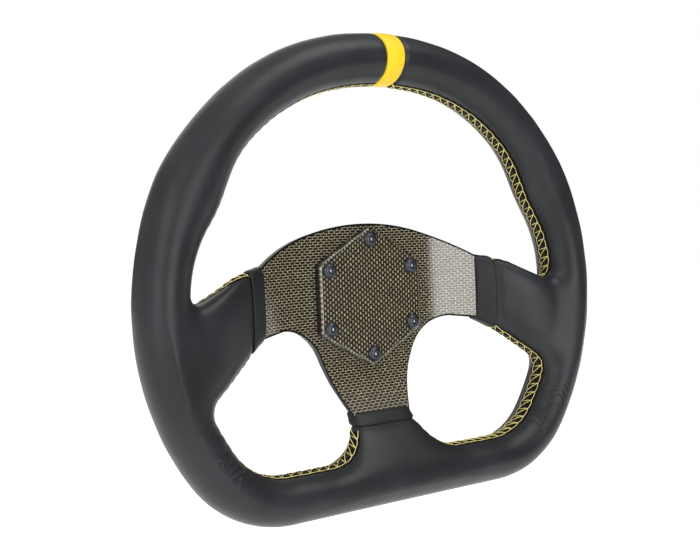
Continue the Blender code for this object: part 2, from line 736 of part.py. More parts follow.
def make_collar_spring():
    """Helical spring between the flange and the collar's shoulder."""
    start = -HUB_LENGTH + FLANGE_THICKNESS + WIRE_RADIUS + GAP
    end = COLLAR_SHOULDER_Y - WIRE_RADIUS - GAP
    count = SPRING_TURNS * SPRING_STEPS
    sections = []
    for i in range(count + 1):
        angle = 2 * math.pi * i / SPRING_STEPS
        out = Vector((math.cos(angle), 0.0, math.sin(angle)))
        centre = out * SPRING_RADIUS + Vector((0.0, start + (end - start) * i / count, 0.0))
        turns = [2 * math.pi * k / SPRING_SIDES for k in range(SPRING_SIDES)]
        lift = Vector((0.0, 1.0, 0.0))
        sections.append([centre + (out * math.cos(t) + lift * math.sin(t)) * WIRE_RADIUS for t in turns])
    add_object("collar_spring", sweep_mesh("collar_spring", sections), "steel")


def main():
    clear_scene()
    channel = add_cutter("core_channel", core_mesh("core_channel", CORE_RADIUS + GAP))
    arms = dished_plate(
        "arm_room", armature_outline(GAP), ARMATURE_FRONT_Y - GAP, ARMATURE_BACK_Y + GAP
    )
    arm_cutter = add_cutter("arm_room", arms)
    make_rim_core()
    make_rim_foam(arm_cutter, channel)
    make_rim_leather()
    make_centre_mark()
    for spoke in SPOKES:
        make_cuff(spoke)
    make_lacing()
    make_spoke_plates(channel)
    make_hub_cap()
    make_screws()
    make_release_hub()
    make_release_collar()
    make_retaining_ring()
    make_balls()
    make_collar_spring()


main()
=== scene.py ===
"""Looks of the quick release steering wheel: leather rim, laced seams, woven face, hub cap and release hub.

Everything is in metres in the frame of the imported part: the axis along Y, the driver on -Y, +Z up.
Each new piece is a surface worked out as whole arrays; its function says how in words.
"""
import math

import bpy
import numpy as np
from mathutils import Matrix, Vector


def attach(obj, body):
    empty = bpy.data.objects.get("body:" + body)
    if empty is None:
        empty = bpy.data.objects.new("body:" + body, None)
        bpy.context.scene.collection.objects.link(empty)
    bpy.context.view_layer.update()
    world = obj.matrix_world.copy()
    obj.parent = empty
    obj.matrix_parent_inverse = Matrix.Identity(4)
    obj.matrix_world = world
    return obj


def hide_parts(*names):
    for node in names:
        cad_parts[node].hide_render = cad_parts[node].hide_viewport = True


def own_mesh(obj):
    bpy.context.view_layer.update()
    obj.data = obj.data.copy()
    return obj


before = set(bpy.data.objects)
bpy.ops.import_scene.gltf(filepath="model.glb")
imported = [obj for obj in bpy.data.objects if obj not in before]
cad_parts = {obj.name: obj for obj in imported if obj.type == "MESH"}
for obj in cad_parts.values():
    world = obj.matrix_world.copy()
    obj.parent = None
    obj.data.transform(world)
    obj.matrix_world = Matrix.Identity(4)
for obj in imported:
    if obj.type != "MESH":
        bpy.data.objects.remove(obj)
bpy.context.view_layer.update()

MM = 0.001
TAU = 2.0 * math.pi

# Rim centreline and grip section
RIM_RADIUS = 146.0 * MM
RIM_ARC_Z = -2.4 * MM
CORNER_RADIUS = 54.0 * MM
FLAT_Z = -108.5 * MM
CORNER_Z = FLAT_Z + CORNER_RADIUS
CORNER_X = math.sqrt((RIM_RADIUS - CORNER_RADIUS) ** 2 - (CORNER_Z - RIM_ARC_Z) ** 2)
CORNER_JOINT = math.atan2(CORNER_Z - RIM_ARC_Z, CORNER_X)
TOP_FLATTENING = 3.2 * MM
TOP_FLAT_HALF = 60.0 * MM
GRIP_HALF_RADIAL = 14.4 * MM
GRIP_SWELL = 0.7 * MM
GRIP_HALF_AXIAL = 18.0 * MM
THUMB_SWELL = 3.5 * MM
THUMB_SHIFT = 1.7 * MM
THUMB_ANGLE = math.radians(27.0)
THUMB_SPREAD = math.radians(10.0)
LEATHER = 1.4 * MM

# Dished stack
ARMATURE_MID_Y = -47.8 * MM
FACE_BACK_Y = -50.6 * MM
FACE_FRONT_Y = -52.1 * MM
SPACER_BACK_Y = -52.4 * MM
SPACER_FRONT_Y = -55.9 * MM
CAP_BACK_Y = -56.2 * MM
CAP_FRONT_Y = -58.4 * MM
DISH = 27.4 * MM
RIM_Y = ARMATURE_MID_Y - DISH
DISH_START = 40.0 * MM
SIDE_DISH_RUN = 86.0 * MM
LOWER_DISH_RUN = 64.0 * MM

# Sleeves over the spokes: place along, middle and half width across, half thickness
SIDE_SLEEVE = np.array((
    (78.5, 1.4, 20.7, 6.5),
    (89.5, -2.9, 22.8, 7.6),
    (100.0, -8.3, 24.8, 9.0),
    (112.0, -15.9, 26.4, 11.0),
    (126.0, -24.5, 28.5, 13.0),
    (141.0, -31.0, 31.0, 14.5),
)) * MM
LOWER_SLEEVE = np.array((
    (68.7, 0.0, 20.6, 6.5),
    (75.7, 0.0, 21.8, 7.6),
    (83.0, 0.0, 24.8, 9.5),
    (91.0, 0.0, 32.0, 12.0),
    (99.0, 0.0, 41.0, 13.5),
    (107.0, 0.0, 50.0, 14.0),
)) * MM
SLEEVE_POWER = 2.0 / 0.62
BLEND = 10.0 * MM

# Plate outline
PLATE_TOP_Z = 44.8 * MM
PLATE_TOP_RADIUS = 148.0 * MM
CUFF_X = 78.2 * MM
CUFF_Z_LOW = -19.0 * MM
NOTCH_X = 62.0 * MM
NOTCH_Z = -46.4 * MM
NOTCH_RADIUS = 30.0 * MM
NOTCH_END = math.radians(159.6)
LOWER_CUFF_Z = -68.4 * MM
LOWER_CUFF_HALF = 20.6 * MM

# Hub cap, screws and release hub
HEX_RADIUS = 42.4 * MM
HEX_CORNER = 5.0 * MM
BOLT_CIRCLE = 35.0 * MM
SCREW_LENGTH = 19.6 * MM
BALL_RADIUS = 3.0 * MM
BALL_CENTRE = 14.0 * MM
BALL_Y = -12.0 * MM

# Wrinkles of the leather at the lower corners: their middle on the right half, and the patch's reach
WRINKLE_MIDDLE = (113.0 * MM, -88.0 * MM, -76.0 * MM)
WRINKLE_FULL = 12.0 * MM
WRINKLE_GONE = 34.0 * MM

# Laced seams: the lacing's step, half its width and the thread's radius; half the strip's width
LACE_PITCH = 6.0 * MM
LACE_HALF = 3.7 * MM
THREAD = 0.24 * MM
STRIP_HALF = 6.4 * MM

# Woven cloth: a yarn's width across and up
YARN_X = 1.95 * MM
YARN_Z = 1.58 * MM
GOLD_YARN = (0.74, 0.66, 0.43)


# ---------------------------------------------------------------- mesh helpers

def make_piece(name, points, faces, finish, smooth=True):
    """One mesh object at the origin, from an array of points and lists of faces."""
    mesh = bpy.data.meshes.new(name)
    mesh.from_pydata(np.asarray(points, float).reshape(-1, 3).tolist(), [], faces)
    mesh.validate()
    mesh.update()
    piece = bpy.data.objects.new(name, mesh)
    bpy.context.scene.collection.objects.link(piece)
    if smooth:
        mesh.shade_smooth()
    mesh.materials.append(finish)
    return piece


def grid_faces(rows, columns, wrap_rows=False, wrap_columns=False, first=0):
    """Quads of a grid of points stored row by row."""
    i = np.arange(rows if wrap_rows else rows - 1)[:, None]
    j = np.arange(columns if wrap_columns else columns - 1)[None, :]
    a = i * columns + j
    b = i * columns + (j + 1) % columns
    c = (i + 1) % rows * columns + (j + 1) % columns
    d = (i + 1) % rows * columns + j
    return (np.stack([a, b, c, d], -1).reshape(-1, 4) + first).tolist()


def border_of(rows, columns):
    """Indices of the points round the border of a grid, as a closed loop."""
    index = np.arange(rows * columns).reshape(rows, columns)
    return np.concatenate([index[0, :-1], index[:-1, -1], index[-1, :0:-1], index[:0:-1, 0]])


def joined(loop, other):
    """Quads between two closed loops of the same number of points."""
    return np.stack([np.roll(loop, -1), loop, other, np.roll(other, -1)], -1).tolist()


def at_depth(outline, y):
    """A flat outline's (x, z) points as points at one depth."""
    return np.column_stack([outline[:, 0], np.full(len(outline), y), outline[:, 1]])


def sharp_edges(piece, degrees):
    """Smooth shading that breaks where the surface turns by more than the angle."""
    piece.data.set_sharp_from_angle(angle=math.radians(degrees))


def centres_of(piece):
    """Middle of every face, as an array."""
    centre = np.zeros(len(piece.data.polygons) * 3)
    piece.data.polygons.foreach_get("center", centre)
    return centre.reshape(-1, 3)


def paint(piece, finish, chosen):
    """Gives the chosen faces a finish of their own."""
    piece.data.materials.append(finish)
    slot = np.zeros(len(piece.data.polygons), int)
    slot[chosen] = len(piece.data.materials) - 1
    piece.data.polygons.foreach_set("material_index", slot)
    piece.data.update()


def outward(piece):
    """Turns the faces of a closed piece outwards: its signed volume is made positive."""
    mesh = piece.data
    mesh.calc_loop_triangles()
    points = np.zeros(len(mesh.vertices) * 3)
    mesh.vertices.foreach_get("co", points)
    points = points.reshape(-1, 3)
    corners = np.zeros(len(mesh.loop_triangles) * 3, int)
    mesh.loop_triangles.foreach_get("vertices", corners)
    a, b, c = points[corners.reshape(-1, 3)].transpose(1, 0, 2)
    if np.einsum("ij,ij->i", a, np.cross(b, c)).sum() < 0.0:
        mesh.flip_normals()
    return piece


# ---------------------------------------------------------------- shape of the leather

def ease(u):
    """Half a cosine wave from 0 to 1."""
    return (1.0 - np.cos(math.pi * np.clip(u, 0.0, 1.0))) / 2.0


def dish_rise(x, z):
    """How far towards the driver the spokes have risen: the larger of the side and the lower rise."""
    side = ease((np.abs(x) - DISH_START) / SIDE_DISH_RUN)
    lower = ease((-z - DISH_START) / LOWER_DISH_RUN)
    return DISH * np.maximum(side, lower)


def thumb_rest(x, z):
    """Share of the thumb rest at a place on the centreline: a bell round its middle."""
    return np.exp(-((np.arctan2(z, np.abs(x)) - THUMB_ANGLE) / THUMB_SPREAD) ** 2)


def grip_half(x, z):
    """Half thickness of the grip in the wheel's plane: a slow swell to the top, plus the thumb rests."""
    return GRIP_HALF_RADIAL + GRIP_SWELL * np.sin(np.arctan2(z, np.abs(x))) + THUMB_SWELL * thumb_rest(x, z)


def rim_place(x, z):
    """Distance outwards from the rim's centreline, nearest point on it, and distance along the crown.

    The centreline is a big arc, a corner arc and a flat bottom, told apart by the corner's two radii.
    The crown's arc is pressed down by a bell curve, which is undone here in two passes."""
    x = np.abs(x)
    raised = z
    for _ in range(2):
        angle = np.arctan2(raised - RIM_ARC_Z, x)
        press = TOP_FLATTENING * np.exp(-(RIM_RADIUS * np.cos(angle) / TOP_FLAT_HALF) ** 2)
        press = press * (angle > 0.0)
        raised = z + press
    angle = np.arctan2(raised - RIM_ARC_Z, x)
    offset = np.hypot(x, raised - RIM_ARC_Z) - RIM_RADIUS
    near_x = RIM_RADIUS * np.cos(angle)
    near_z = RIM_ARC_Z + RIM_RADIUS * np.sin(angle) - press
    along = RIM_RADIUS * (math.pi / 2 - angle)
    right, up = x - CORNER_X, z - CORNER_Z
    turn = np.arctan2(up, right)
    corner = (right > 0.0) & (turn < CORNER_JOINT)
    offset = np.where(corner, np.hypot(right, up) - CORNER_RADIUS, offset)
    near_x = np.where(corner, CORNER_X + CORNER_RADIUS * np.cos(turn), near_x)
    near_z = np.where(corner, CORNER_Z + CORNER_RADIUS * np.sin(turn), near_z)
    flat = (right <= 0.0) & (up < 0.0)
    offset = np.where(flat, FLAT_Z - z, offset)
    near_x = np.where(flat, x, near_x)
    near_z = np.where(flat, FLAT_Z, near_z)
    return offset, near_x, near_z, along


def over_oval(u, v, a, b, power):
    """Height over the oval |u/a|^p + |v/b|^p = 1: (q - 1) over the slope of q, q being the p-norm."""
    u = np.abs(u) / a + 1e-6
    v = np.abs(v) / b + 1e-6
    q = (u ** power + v ** power) ** (1.0 / power)
    slope = np.hypot((u / q) ** (power - 1.0) / a, (v / q) ** (power - 1.0) / b)
    return (q - 1.0) / slope


def soft_union(a, b, reach):
    """The smaller of two heights, with a fillet where they are closer than the reach."""
    share = np.clip(0.5 + 0.5 * (b - a) / reach, 0.0, 1.0)
    return b + (a - b) * share - reach * share * (1.0 - share)


def smooth_rows(rows, step=0.5 * MM, window=17):
    """A finely spaced table of the sleeve rows: straight runs, carried on past both ends and averaged."""
    along = np.arange(rows[0, 0] - 12.0 * MM, rows[-1, 0] + 12.0 * MM, step)
    bell = np.hanning(window + 2)[1:-1]
    bell /= bell.sum()
    columns = [along]
    for k in (1, 2, 3):
        values = np.interp(along, rows[:, 0], rows[:, k])
        before = rows[0, k] + (along - rows[0, 0]) * (rows[1, k] - rows[0, k]) / (rows[1, 0] - rows[0, 0])
        rise = (rows[-1, k] - rows[-2, k]) / (rows[-1, 0] - rows[-2, 0])
        after = rows[-1, k] + (along - rows[-1, 0]) * rise
        values = np.where(along < rows[0, 0], before, np.where(along > rows[-1, 0], after, values))
        padded = np.pad(values, window // 2, mode="reflect", reflect_type="odd")
        columns.append(np.convolve(padded, bell, mode="valid"))
    return np.stack(columns)


SIDE_TABLE = smooth_rows(SIDE_SLEEVE)
LOWER_TABLE = smooth_rows(LOWER_SLEEVE)
SIDE_CREASE = SIDE_SLEEVE[1, 0]
LOWER_CREASE = LOWER_SLEEVE[1, 0]


def sleeve_row(table, along):
    """A sleeve's middle, half width and half thickness at a place along it."""
    return [np.interp(along, table[0], table[k]) for k in (1, 2, 3)]


def crease_dip(along, crease):
    """The main leather dives into the crease where the cuff's edge lies."""
    return 1.1 * MM * np.exp(-((along - crease) / (2.2 * MM)) ** 2)


def leather_height(points):
    """Height over the whole wrap: oval grip, two side sleeves and the lower sleeve in a soft union.

    The grip narrows in a dive under the yellow mark, and shallow waves, about 30 to 40 mm long, are
    added to the whole."""
    x, y, z = points[..., 0], points[..., 1], points[..., 2]
    offset, near_x, near_z, along = rim_place(x, z)
    dive = 1.5 * MM * (1.0 - ease((along - 5.6 * MM) / (2.6 * MM)))
    half = grip_half(near_x, near_z) - dive
    inwards = THUMB_SHIFT * thumb_rest(near_x, near_z)
    grip = over_oval(offset + inwards, y - RIM_Y, half, GRIP_HALF_AXIAL - dive, 2.0)
    inside = offset + 2.0 * MM

    middle, width, thick = sleeve_row(SIDE_TABLE, np.abs(x))
    lift = crease_dip(np.abs(x), SIDE_CREASE)
    deep = y - (ARMATURE_MID_Y - dish_rise(x, 0.0 * x))
    side = over_oval(z - middle, deep, width - lift, thick - lift, SLEEVE_POWER)
    side = np.maximum(np.maximum(side, inside), SIDE_CREASE - 6.0 * MM - np.abs(x))

    middle, width, thick = sleeve_row(LOWER_TABLE, -z)
    lift = crease_dip(-z, LOWER_CREASE)
    deep = y - (ARMATURE_MID_Y - dish_rise(0.0 * z, z))
    lower = over_oval(x - middle, deep, width - lift, thick - lift, SLEEVE_POWER)
    lower = np.maximum(np.maximum(lower, inside), LOWER_CREASE - 5.0 * MM + z)

    height = soft_union(soft_union(grip, side, BLEND), lower, BLEND)
    waves = np.sin(x * 190.0 + 1.3) * np.sin(z * 210.0 + 0.4) * np.sin(y * 160.0 + x * 60.0)
    return height + 0.12 * MM * waves


def slope_of(height, points, reach=0.15 * MM):
    """Gradient by central differences along the three axes."""
    steps = np.eye(3) * reach
    return np.stack([height(points + s) - height(points - s) for s in steps], -1) / (2.0 * reach)


def settle(height, points, rounds=3):
    """Moves points on to the zero surface along its slope."""
    for _ in range(rounds):
        slope = slope_of(height, points)
        size = np.maximum((slope ** 2).sum(-1, keepdims=True), 0.05)
        move = height(points)[..., None] * slope / size
        points = points - np.clip(move, -2.0 * MM, 2.0 * MM)
    return points


def zero_surface(height, low, high, pitch):
    """Quads over the zero surface of a height, by surface nets.

    A vertex stands in every grid cell that the surface passes, at the mean of its edge crossings,
    and a quad joins the four cells round every grid edge whose ends lie on different sides."""
    axes = [np.arange(a, b + pitch, pitch) for a, b in zip(low, high)]
    grid = np.stack(np.meshgrid(*axes, indexing="ij"), -1)
    value = height(grid)
    count = np.array(value.shape) - 1
    total = np.zeros((*count, 3))
    hits = np.zeros(count)
    for axis in range(3):
        others = [k for k in range(3) if k != axis]
        for shift in ((0, 0), (0, 1), (1, 0), (1, 1)):
            cut = [slice(0, n) for n in count]
            for k, by in zip(others, shift):
                cut[k] = slice(by, by + count[k])
            near = tuple(cut)
            cut[axis] = slice(1, 1 + count[axis])
            far = tuple(cut)
            a, b = value[near], value[far]
            crossed = (a < 0.0) != (b < 0.0)
            share = np.where(crossed, a / np.where(crossed, a - b, 1.0), 0.0)[..., None]
            total += crossed[..., None] * (grid[near] * (1.0 - share) + grid[far] * share)
            hits += crossed
    used = hits > 0
    index = np.full(used.shape, -1)
    index[used] = np.arange(used.sum())
    points = total[used] / hits[used][:, None]
    quads = []
    for axis in range(3):
        first, second = (axis + 1) % 3, (axis + 2) % 3
        a = np.moveaxis(value, (axis, first, second), (0, 1, 2))[:, 1:-1, 1:-1]
        cells = np.moveaxis(index, (axis, first, second), (0, 1, 2))
        start, end = a[:-1] < 0.0, a[1:] < 0.0
        ring = np.stack([cells[:, :-1, :-1], cells[:, 1:, :-1], cells[:, 1:, 1:], cells[:, :-1, 1:]], -1)
        quads.append(ring[start & ~end])
        quads.append(ring[~start & end][:, ::-1])
    return points, np.concatenate(quads)


def even_out(height, points, quads, rounds=4):
    """Each vertex moves halfway to the mean of its neighbours and settles on the surface again."""
    a = quads.ravel()
    b = np.roll(quads, -1, axis=1).ravel()
    start, end = np.concatenate([a, b]), np.concatenate([b, a])
    degree = np.bincount(start, minlength=len(points))[:, None]
    for _ in range(rounds):
        mean = np.stack([np.bincount(start, points[end, k], len(points)) for k in range(3)], -1) / degree
        points = settle(height, (points + mean) / 2.0, 1)
    return settle(height, points, 2)


# ---------------------------------------------------------------- materials

def new_finish(name):
    """An empty node material and its shader."""
    finish = bpy.data.materials.new(name)
    finish.use_nodes = True
    tree = finish.node_tree
    shader = tree.nodes["Principled BSDF"]
    return finish, tree, shader


def node(tree, kind, **values):
    """A new node with the given settings."""
    made = tree.nodes.new(kind)
    for key, value in values.items():
        setattr(made, key, value)
    return made


def link(tree, source, target):
    """Joins two sockets."""
    tree.links.new(source, target)


def maths(tree, operation, *inputs):
    """A Math node; each input is a number or a socket."""
    made = node(tree, "ShaderNodeMath", operation=operation)
    for socket, value in zip(made.inputs, inputs):
        if isinstance(value, (int, float)):
            socket.default_value = value
        else:
            link(tree, value, socket)
    return made.outputs[0]


def ramp(tree, factor, stops):
    """A colour ramp between (place, colour) stops."""
    made = node(tree, "ShaderNodeValToRGB")
    band = made.color_ramp
    while len(band.elements) < len(stops):
        band.elements.new(0.5)
    for element, (place, colour) in zip(band.elements, stops):
        element.position = place
        element.color = (*colour, 1.0)
    link(tree, factor, made.inputs[0])
    return made.outputs[0]


def spread(tree, factor, low, high):
    """A Map Range node from 0..1 to low..high."""
    made = node(tree, "ShaderNodeMapRange")
    made.inputs["To Min"].default_value = low
    made.inputs["To Max"].default_value = high
    link(tree, factor, made.inputs["Value"])
    return made.outputs[0]


def rise_between(tree, value, start, end, high=1.0):
    """A Map Range node that goes smoothly from 0 at the start to the high value at the end."""
    made = node(tree, "ShaderNodeMapRange", interpolation_type="SMOOTHSTEP")
    made.inputs["From Min"].default_value = start
    made.inputs["From Max"].default_value = end
    made.inputs["To Max"].default_value = high
    link(tree, value, made.inputs["Value"])
    return made.outputs[0]


def noise(tree, place, scale, detail=3.0):
    """Soft noise between 0 and 1; the scale is in waves a metre."""
    made = node(tree, "ShaderNodeTexNoise")
    made.inputs["Scale"].default_value = scale
    made.inputs["Detail"].default_value = detail
    link(tree, place, made.inputs["Vector"])
    return made.outputs["Fac"]


def place_of(tree):
    """The point's place in the wheel's frame."""
    return node(tree, "ShaderNodeTexCoord").outputs["Object"]


def bump(tree, height, distance, strength=1.0, after=None):
    """A normal tilted by a height, on top of another normal if one is given."""
    made = node(tree, "ShaderNodeBump")
    made.inputs["Strength"].default_value = strength
    made.inputs["Distance"].default_value = distance
    link(tree, height, made.inputs["Height"])
    if after is not None:
        link(tree, after, made.inputs["Normal"])
    return made.outputs["Normal"]


def wrinkles(tree, place, after):
    """Fine wrinkles across the grip, in a patch at each lower corner, added to a normal.

    They are the thin valleys of a sine wave that fans out from a point inside the corner. Noise makes
    them wander and breaks them up, and they fade with the distance from the patch's middle."""
    parts = node(tree, "ShaderNodeSeparateXYZ")
    link(tree, place, parts.inputs[0])
    side = maths(tree, "ABSOLUTE", parts.outputs["X"])
    out = maths(tree, "SUBTRACT", side, 60.0 * MM)
    turn = maths(tree, "ARCTAN2", maths(tree, "ADD", parts.outputs["Z"], 30.0 * MM), out)
    wander = maths(tree, "MULTIPLY", noise(tree, place, 55.0, 2.0), 16.0)
    wave = maths(tree, "SINE", maths(tree, "ADD", maths(tree, "MULTIPLY", turn, 42.0), wander))
    valley = maths(tree, "POWER", maths(tree, "ABSOLUTE", wave), 0.35)
    mirrored = node(tree, "ShaderNodeCombineXYZ")
    link(tree, side, mirrored.inputs[0])
    link(tree, parts.outputs["Y"], mirrored.inputs[1])
    link(tree, parts.outputs["Z"], mirrored.inputs[2])
    gap = node(tree, "ShaderNodeVectorMath", operation="DISTANCE")
    link(tree, mirrored.outputs[0], gap.inputs[0])
    gap.inputs[1].default_value = WRINKLE_MIDDLE
    near = rise_between(tree, gap.outputs["Value"], WRINKLE_GONE, WRINKLE_FULL)
    broken = spread(tree, noise(tree, place, 120.0, 1.0), -0.6, 1.5)
    depth = maths(tree, "MULTIPLY", near, maths(tree, "MAXIMUM", broken, 0.0))
    dent = maths(tree, "MULTIPLY", maths(tree, "SUBTRACT", valley, 1.0), depth)
    return bump(tree, dent, 0.55 * MM, 1.0, after)


def leather_finish(name, dark, light, rough, gloss=0.22, wrinkled=False):
    """Smooth hide: small pebbles from Voronoi cells, and a slow change of colour and gloss."""
    finish, tree, shader = new_finish(name)
    place = place_of(tree)
    slow = noise(tree, place, 26.0, 2.0)
    link(tree, ramp(tree, slow, ((0.3, dark), (0.7, light))), shader.inputs["Base Color"])
    worn = noise(tree, place, 70.0)
    link(tree, spread(tree, worn, rough - 0.05, rough + 0.06), shader.inputs["Roughness"])
    cells = node(tree, "ShaderNodeTexVoronoi", feature="SMOOTH_F1")
    cells.inputs["Scale"].default_value = 1500.0
    link(tree, place, cells.inputs["Vector"])
    normal = bump(tree, cells.outputs["Distance"], 0.035 * MM, 0.6)
    if wrinkled:
        normal = wrinkles(tree, place, normal)
    link(tree, normal, shader.inputs["Normal"])
    shader.inputs["Specular IOR Level"].default_value = gloss
    return finish


def thread_finish(name, dark, light):
    """Twisted thread: fine slanting ridges and uneven dye."""
    finish, tree, shader = new_finish(name)
    place = place_of(tree)
    wave = node(tree, "ShaderNodeTexWave", bands_direction="DIAGONAL")
    wave.inputs["Scale"].default_value = 900.0
    wave.inputs["Distortion"].default_value = 1.5
    link(tree, place, wave.inputs["Vector"])
    uneven = noise(tree, place, 300.0)
    link(tree, ramp(tree, uneven, ((0.3, dark), (0.65, light))), shader.inputs["Base Color"])
    link(tree, spread(tree, uneven, 0.45, 0.65), shader.inputs["Roughness"])
    link(tree, bump(tree, wave.outputs["Fac"], 0.05 * MM, 0.6), shader.inputs["Normal"])
    return finish


def weave_finish(name, upright):
    """Black and gold cloth under gloss resin.

    The cloth is a checkerboard of cells where either the upright gold yarn or the black one lies on top. Its
    colour is painted brightest at a gold dash's middle and darker towards its edges, a painted highlight and
    painted shade of the rounded yarn.
    A dash is a rounded box in its cell, each half a step from those of the next row: gold dashes that
    stand on black, or black dashes that lie in gold. It also shapes a slight bump."""
    finish, tree, shader = new_finish(name)
    place = place_of(tree)
    parts = node(tree, "ShaderNodeSeparateXYZ")
    link(tree, place, parts.inputs[0])
    if upright:
        row = maths(tree, "DIVIDE", parts.outputs["X"], YARN_X)
        run = maths(tree, "DIVIDE", parts.outputs["Z"], 2.0 * YARN_Z)
        half_width, half_length = 0.40, 0.40
    else:
        row = maths(tree, "DIVIDE", parts.outputs["Z"], YARN_Z)
        run = maths(tree, "DIVIDE", parts.outputs["X"], 2.0 * YARN_X)
        half_width, half_length = 0.37, 0.38
    shift = maths(tree, "MULTIPLY", maths(tree, "FLOORED_MODULO", maths(tree, "FLOOR", row), 2.0), 0.5)
    run = maths(tree, "ADD", run, shift)
    u = maths(tree, "SUBTRACT", maths(tree, "FRACT", row), 0.5)
    v = maths(tree, "SUBTRACT", maths(tree, "FRACT", run), 0.5)
    u = maths(tree, "DIVIDE", maths(tree, "ABSOLUTE", u), half_width)
    v = maths(tree, "DIVIDE", maths(tree, "ABSOLUTE", v), half_length)
    reach = maths(tree, "ADD", maths(tree, "POWER", u, 2.4), maths(tree, "POWER", v, 2.6))
    gold = rise_between(tree, reach, 1.3, 0.05) if upright else rise_between(tree, reach, 0.5, 2.3)
    # Painted highlight: the ramp below turns the dash's rise into colour, bright gold at its middle and dark
    # at its sides, and noise brightens and dims it in small patches as painted glints.
    painted_glint = (0.45, 1.05) if upright else (0.5, 1.15)
    shade = maths(tree, "MULTIPLY", gold, spread(tree, noise(tree, place, 900.0, 1.0), *painted_glint))
    colour = ramp(tree, shade, ((0.16, (0.002, 0.001, 0.001)), (0.42, (0.06, 0.048, 0.025)),
                                (0.75, (0.25, 0.21, 0.12)), (1.0, GOLD_YARN)))
    link(tree, colour, shader.inputs["Base Color"])
    link(tree, bump(tree, gold, 0.10 * MM, 0.4), shader.inputs["Normal"])
    shader.inputs["Roughness"].default_value = 0.5
    shader.inputs["Specular IOR Level"].default_value = 0.2
    shader.inputs["Coat Weight"].default_value = 1.0
    shader.inputs["Coat Roughness"].default_value = 0.12
    shader.inputs["Coat IOR"].default_value = 1.8
    return finish


def metal_finish(name, dark, light, low, high, metallic=1.0, stretch=(1.0, 1.0, 1.0), gloss=0.5):
    """Machined metal: noise drawn out along the turning marks changes the gloss and the surface."""
    finish, tree, shader = new_finish(name)
    mapping = node(tree, "ShaderNodeMapping")
    mapping.inputs["Scale"].default_value = stretch
    link(tree, place_of(tree), mapping.inputs["Vector"])
    marks = noise(tree, mapping.outputs[0], 600.0, 4.0)
    link(tree, ramp(tree, marks, ((0.3, dark), (0.7, light))), shader.inputs["Base Color"])
    link(tree, spread(tree, marks, low, high), shader.inputs["Roughness"])
    link(tree, bump(tree, marks, 0.03 * MM, 0.35), shader.inputs["Normal"])
    shader.inputs["Metallic"].default_value = metallic
    shader.inputs["Specular IOR Level"].default_value = gloss
    return finish


def foam_finish():
    """Open-cell foam: dark Voronoi pits."""
    finish, tree, shader = new_finish("moulded_foam")
    pits = node(tree, "ShaderNodeTexVoronoi")
    pits.inputs["Scale"].default_value = 900.0
    link(tree, place_of(tree), pits.inputs["Vector"])
    link(tree, ramp(tree, pits.outputs["Distance"], ((0.1, (0.02, 0.02, 0.02)), (0.6, (0.07, 0.07, 0.07)))),
         shader.inputs["Base Color"])
    link(tree, bump(tree, pits.outputs["Distance"], 0.3 * MM, 0.8), shader.inputs["Normal"])
    shader.inputs["Roughness"].default_value = 0.9
    return finish


BLACK_LEATHER = leather_finish("black_leather", (0.015, 0.016, 0.018), (0.023, 0.025, 0.028), 0.37, 0.28,
                               wrinkled=True)
CUFF_LEATHER = leather_finish("cuff_leather", (0.013, 0.014, 0.015), (0.019, 0.020, 0.022), 0.43, 0.25)
SEAM_LEATHER = leather_finish("seam_leather", (0.005, 0.004, 0.0015), (0.010, 0.0075, 0.003), 0.65, 0.08)
YELLOW_LEATHER = leather_finish("yellow_leather", (0.86, 0.56, 0.016), (0.92, 0.65, 0.030), 0.45)
YELLOW_THREAD = thread_finish("yellow_thread", (0.68, 0.57, 0.15), (0.90, 0.80, 0.34))
CAP_WEAVE = weave_finish("cap_weave", True)
FACE_WEAVE = weave_finish("face_weave", False)
BLACK_METAL = metal_finish("black_anodised", (0.012, 0.012, 0.013), (0.022, 0.022, 0.024), 0.32, 0.46, 0.6)
BRIGHT_METAL = metal_finish("turned_aluminium", (0.50, 0.51, 0.53), (0.66, 0.67, 0.69), 0.22, 0.36,
                            1.0, (1.0, 14.0, 1.0))
STEEL = metal_finish("spring_steel", (0.34, 0.34, 0.36), (0.48, 0.48, 0.50), 0.22, 0.34)
SCREW_METAL = metal_finish("screw_steel", (0.045, 0.05, 0.062), (0.07, 0.076, 0.09), 0.26, 0.38, 0.8)
# Bare steel at the socket's floor, much lighter than the screw: partly its own colour, partly a painted
# highlight for the bright spot there.
SOCKET_HIGHLIGHT_METAL = metal_finish("socket_steel_painted_highlight", (0.38, 0.40, 0.43), (0.50, 0.52, 0.55), 0.34, 0.46)
BLACK_RESIN = metal_finish("black_resin", (0.003, 0.003, 0.003), (0.007, 0.007, 0.006), 0.4, 0.5, 0.0,
                           gloss=0.1)
SPACER_PLASTIC = metal_finish("spacer_black", (0.006, 0.006, 0.006), (0.011, 0.011, 0.011), 0.35, 0.5, 0.0)
FOAM = foam_finish()


# ---------------------------------------------------------------- leather pieces

def make_rim_leather():
    """The wrap's outer surface, open at the three sleeve mouths, with the leather's thickness inwards."""
    low = (-165.0 * MM, -97.0 * MM, -127.0 * MM)
    high = (165.0 * MM, -52.0 * MM, 160.0 * MM)
    points, quads = zero_surface(leather_height, low, high, 1.7 * MM)
    points = even_out(leather_height, points, quads)
    middle = points[quads].mean(1)
    side_mouth = np.abs(middle[:, 0]) < SIDE_CREASE - 4.5 * MM
    spoke_zone = np.abs(middle[:, 2]) < 40.0 * MM
    lower_mouth = (-middle[:, 2] < LOWER_CREASE - 3.5 * MM) & (np.abs(middle[:, 0]) < 30.0 * MM)
    lower_mouth &= middle[:, 2] < 0.0
    quads = quads[~((side_mouth & spoke_zone) | lower_mouth)]
    kept, flat = np.unique(quads, return_inverse=True)
    piece = make_piece("rim_leather_wrap", points[kept], flat.reshape(quads.shape).tolist(), BLACK_LEATHER)
    wall = piece.modifiers.new("wall", "SOLIDIFY")
    wall.thickness = LEATHER
    wall.offset = -1.0
    wall.use_even_offset = False
    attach(piece, "wheel")
    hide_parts("rim_leather")


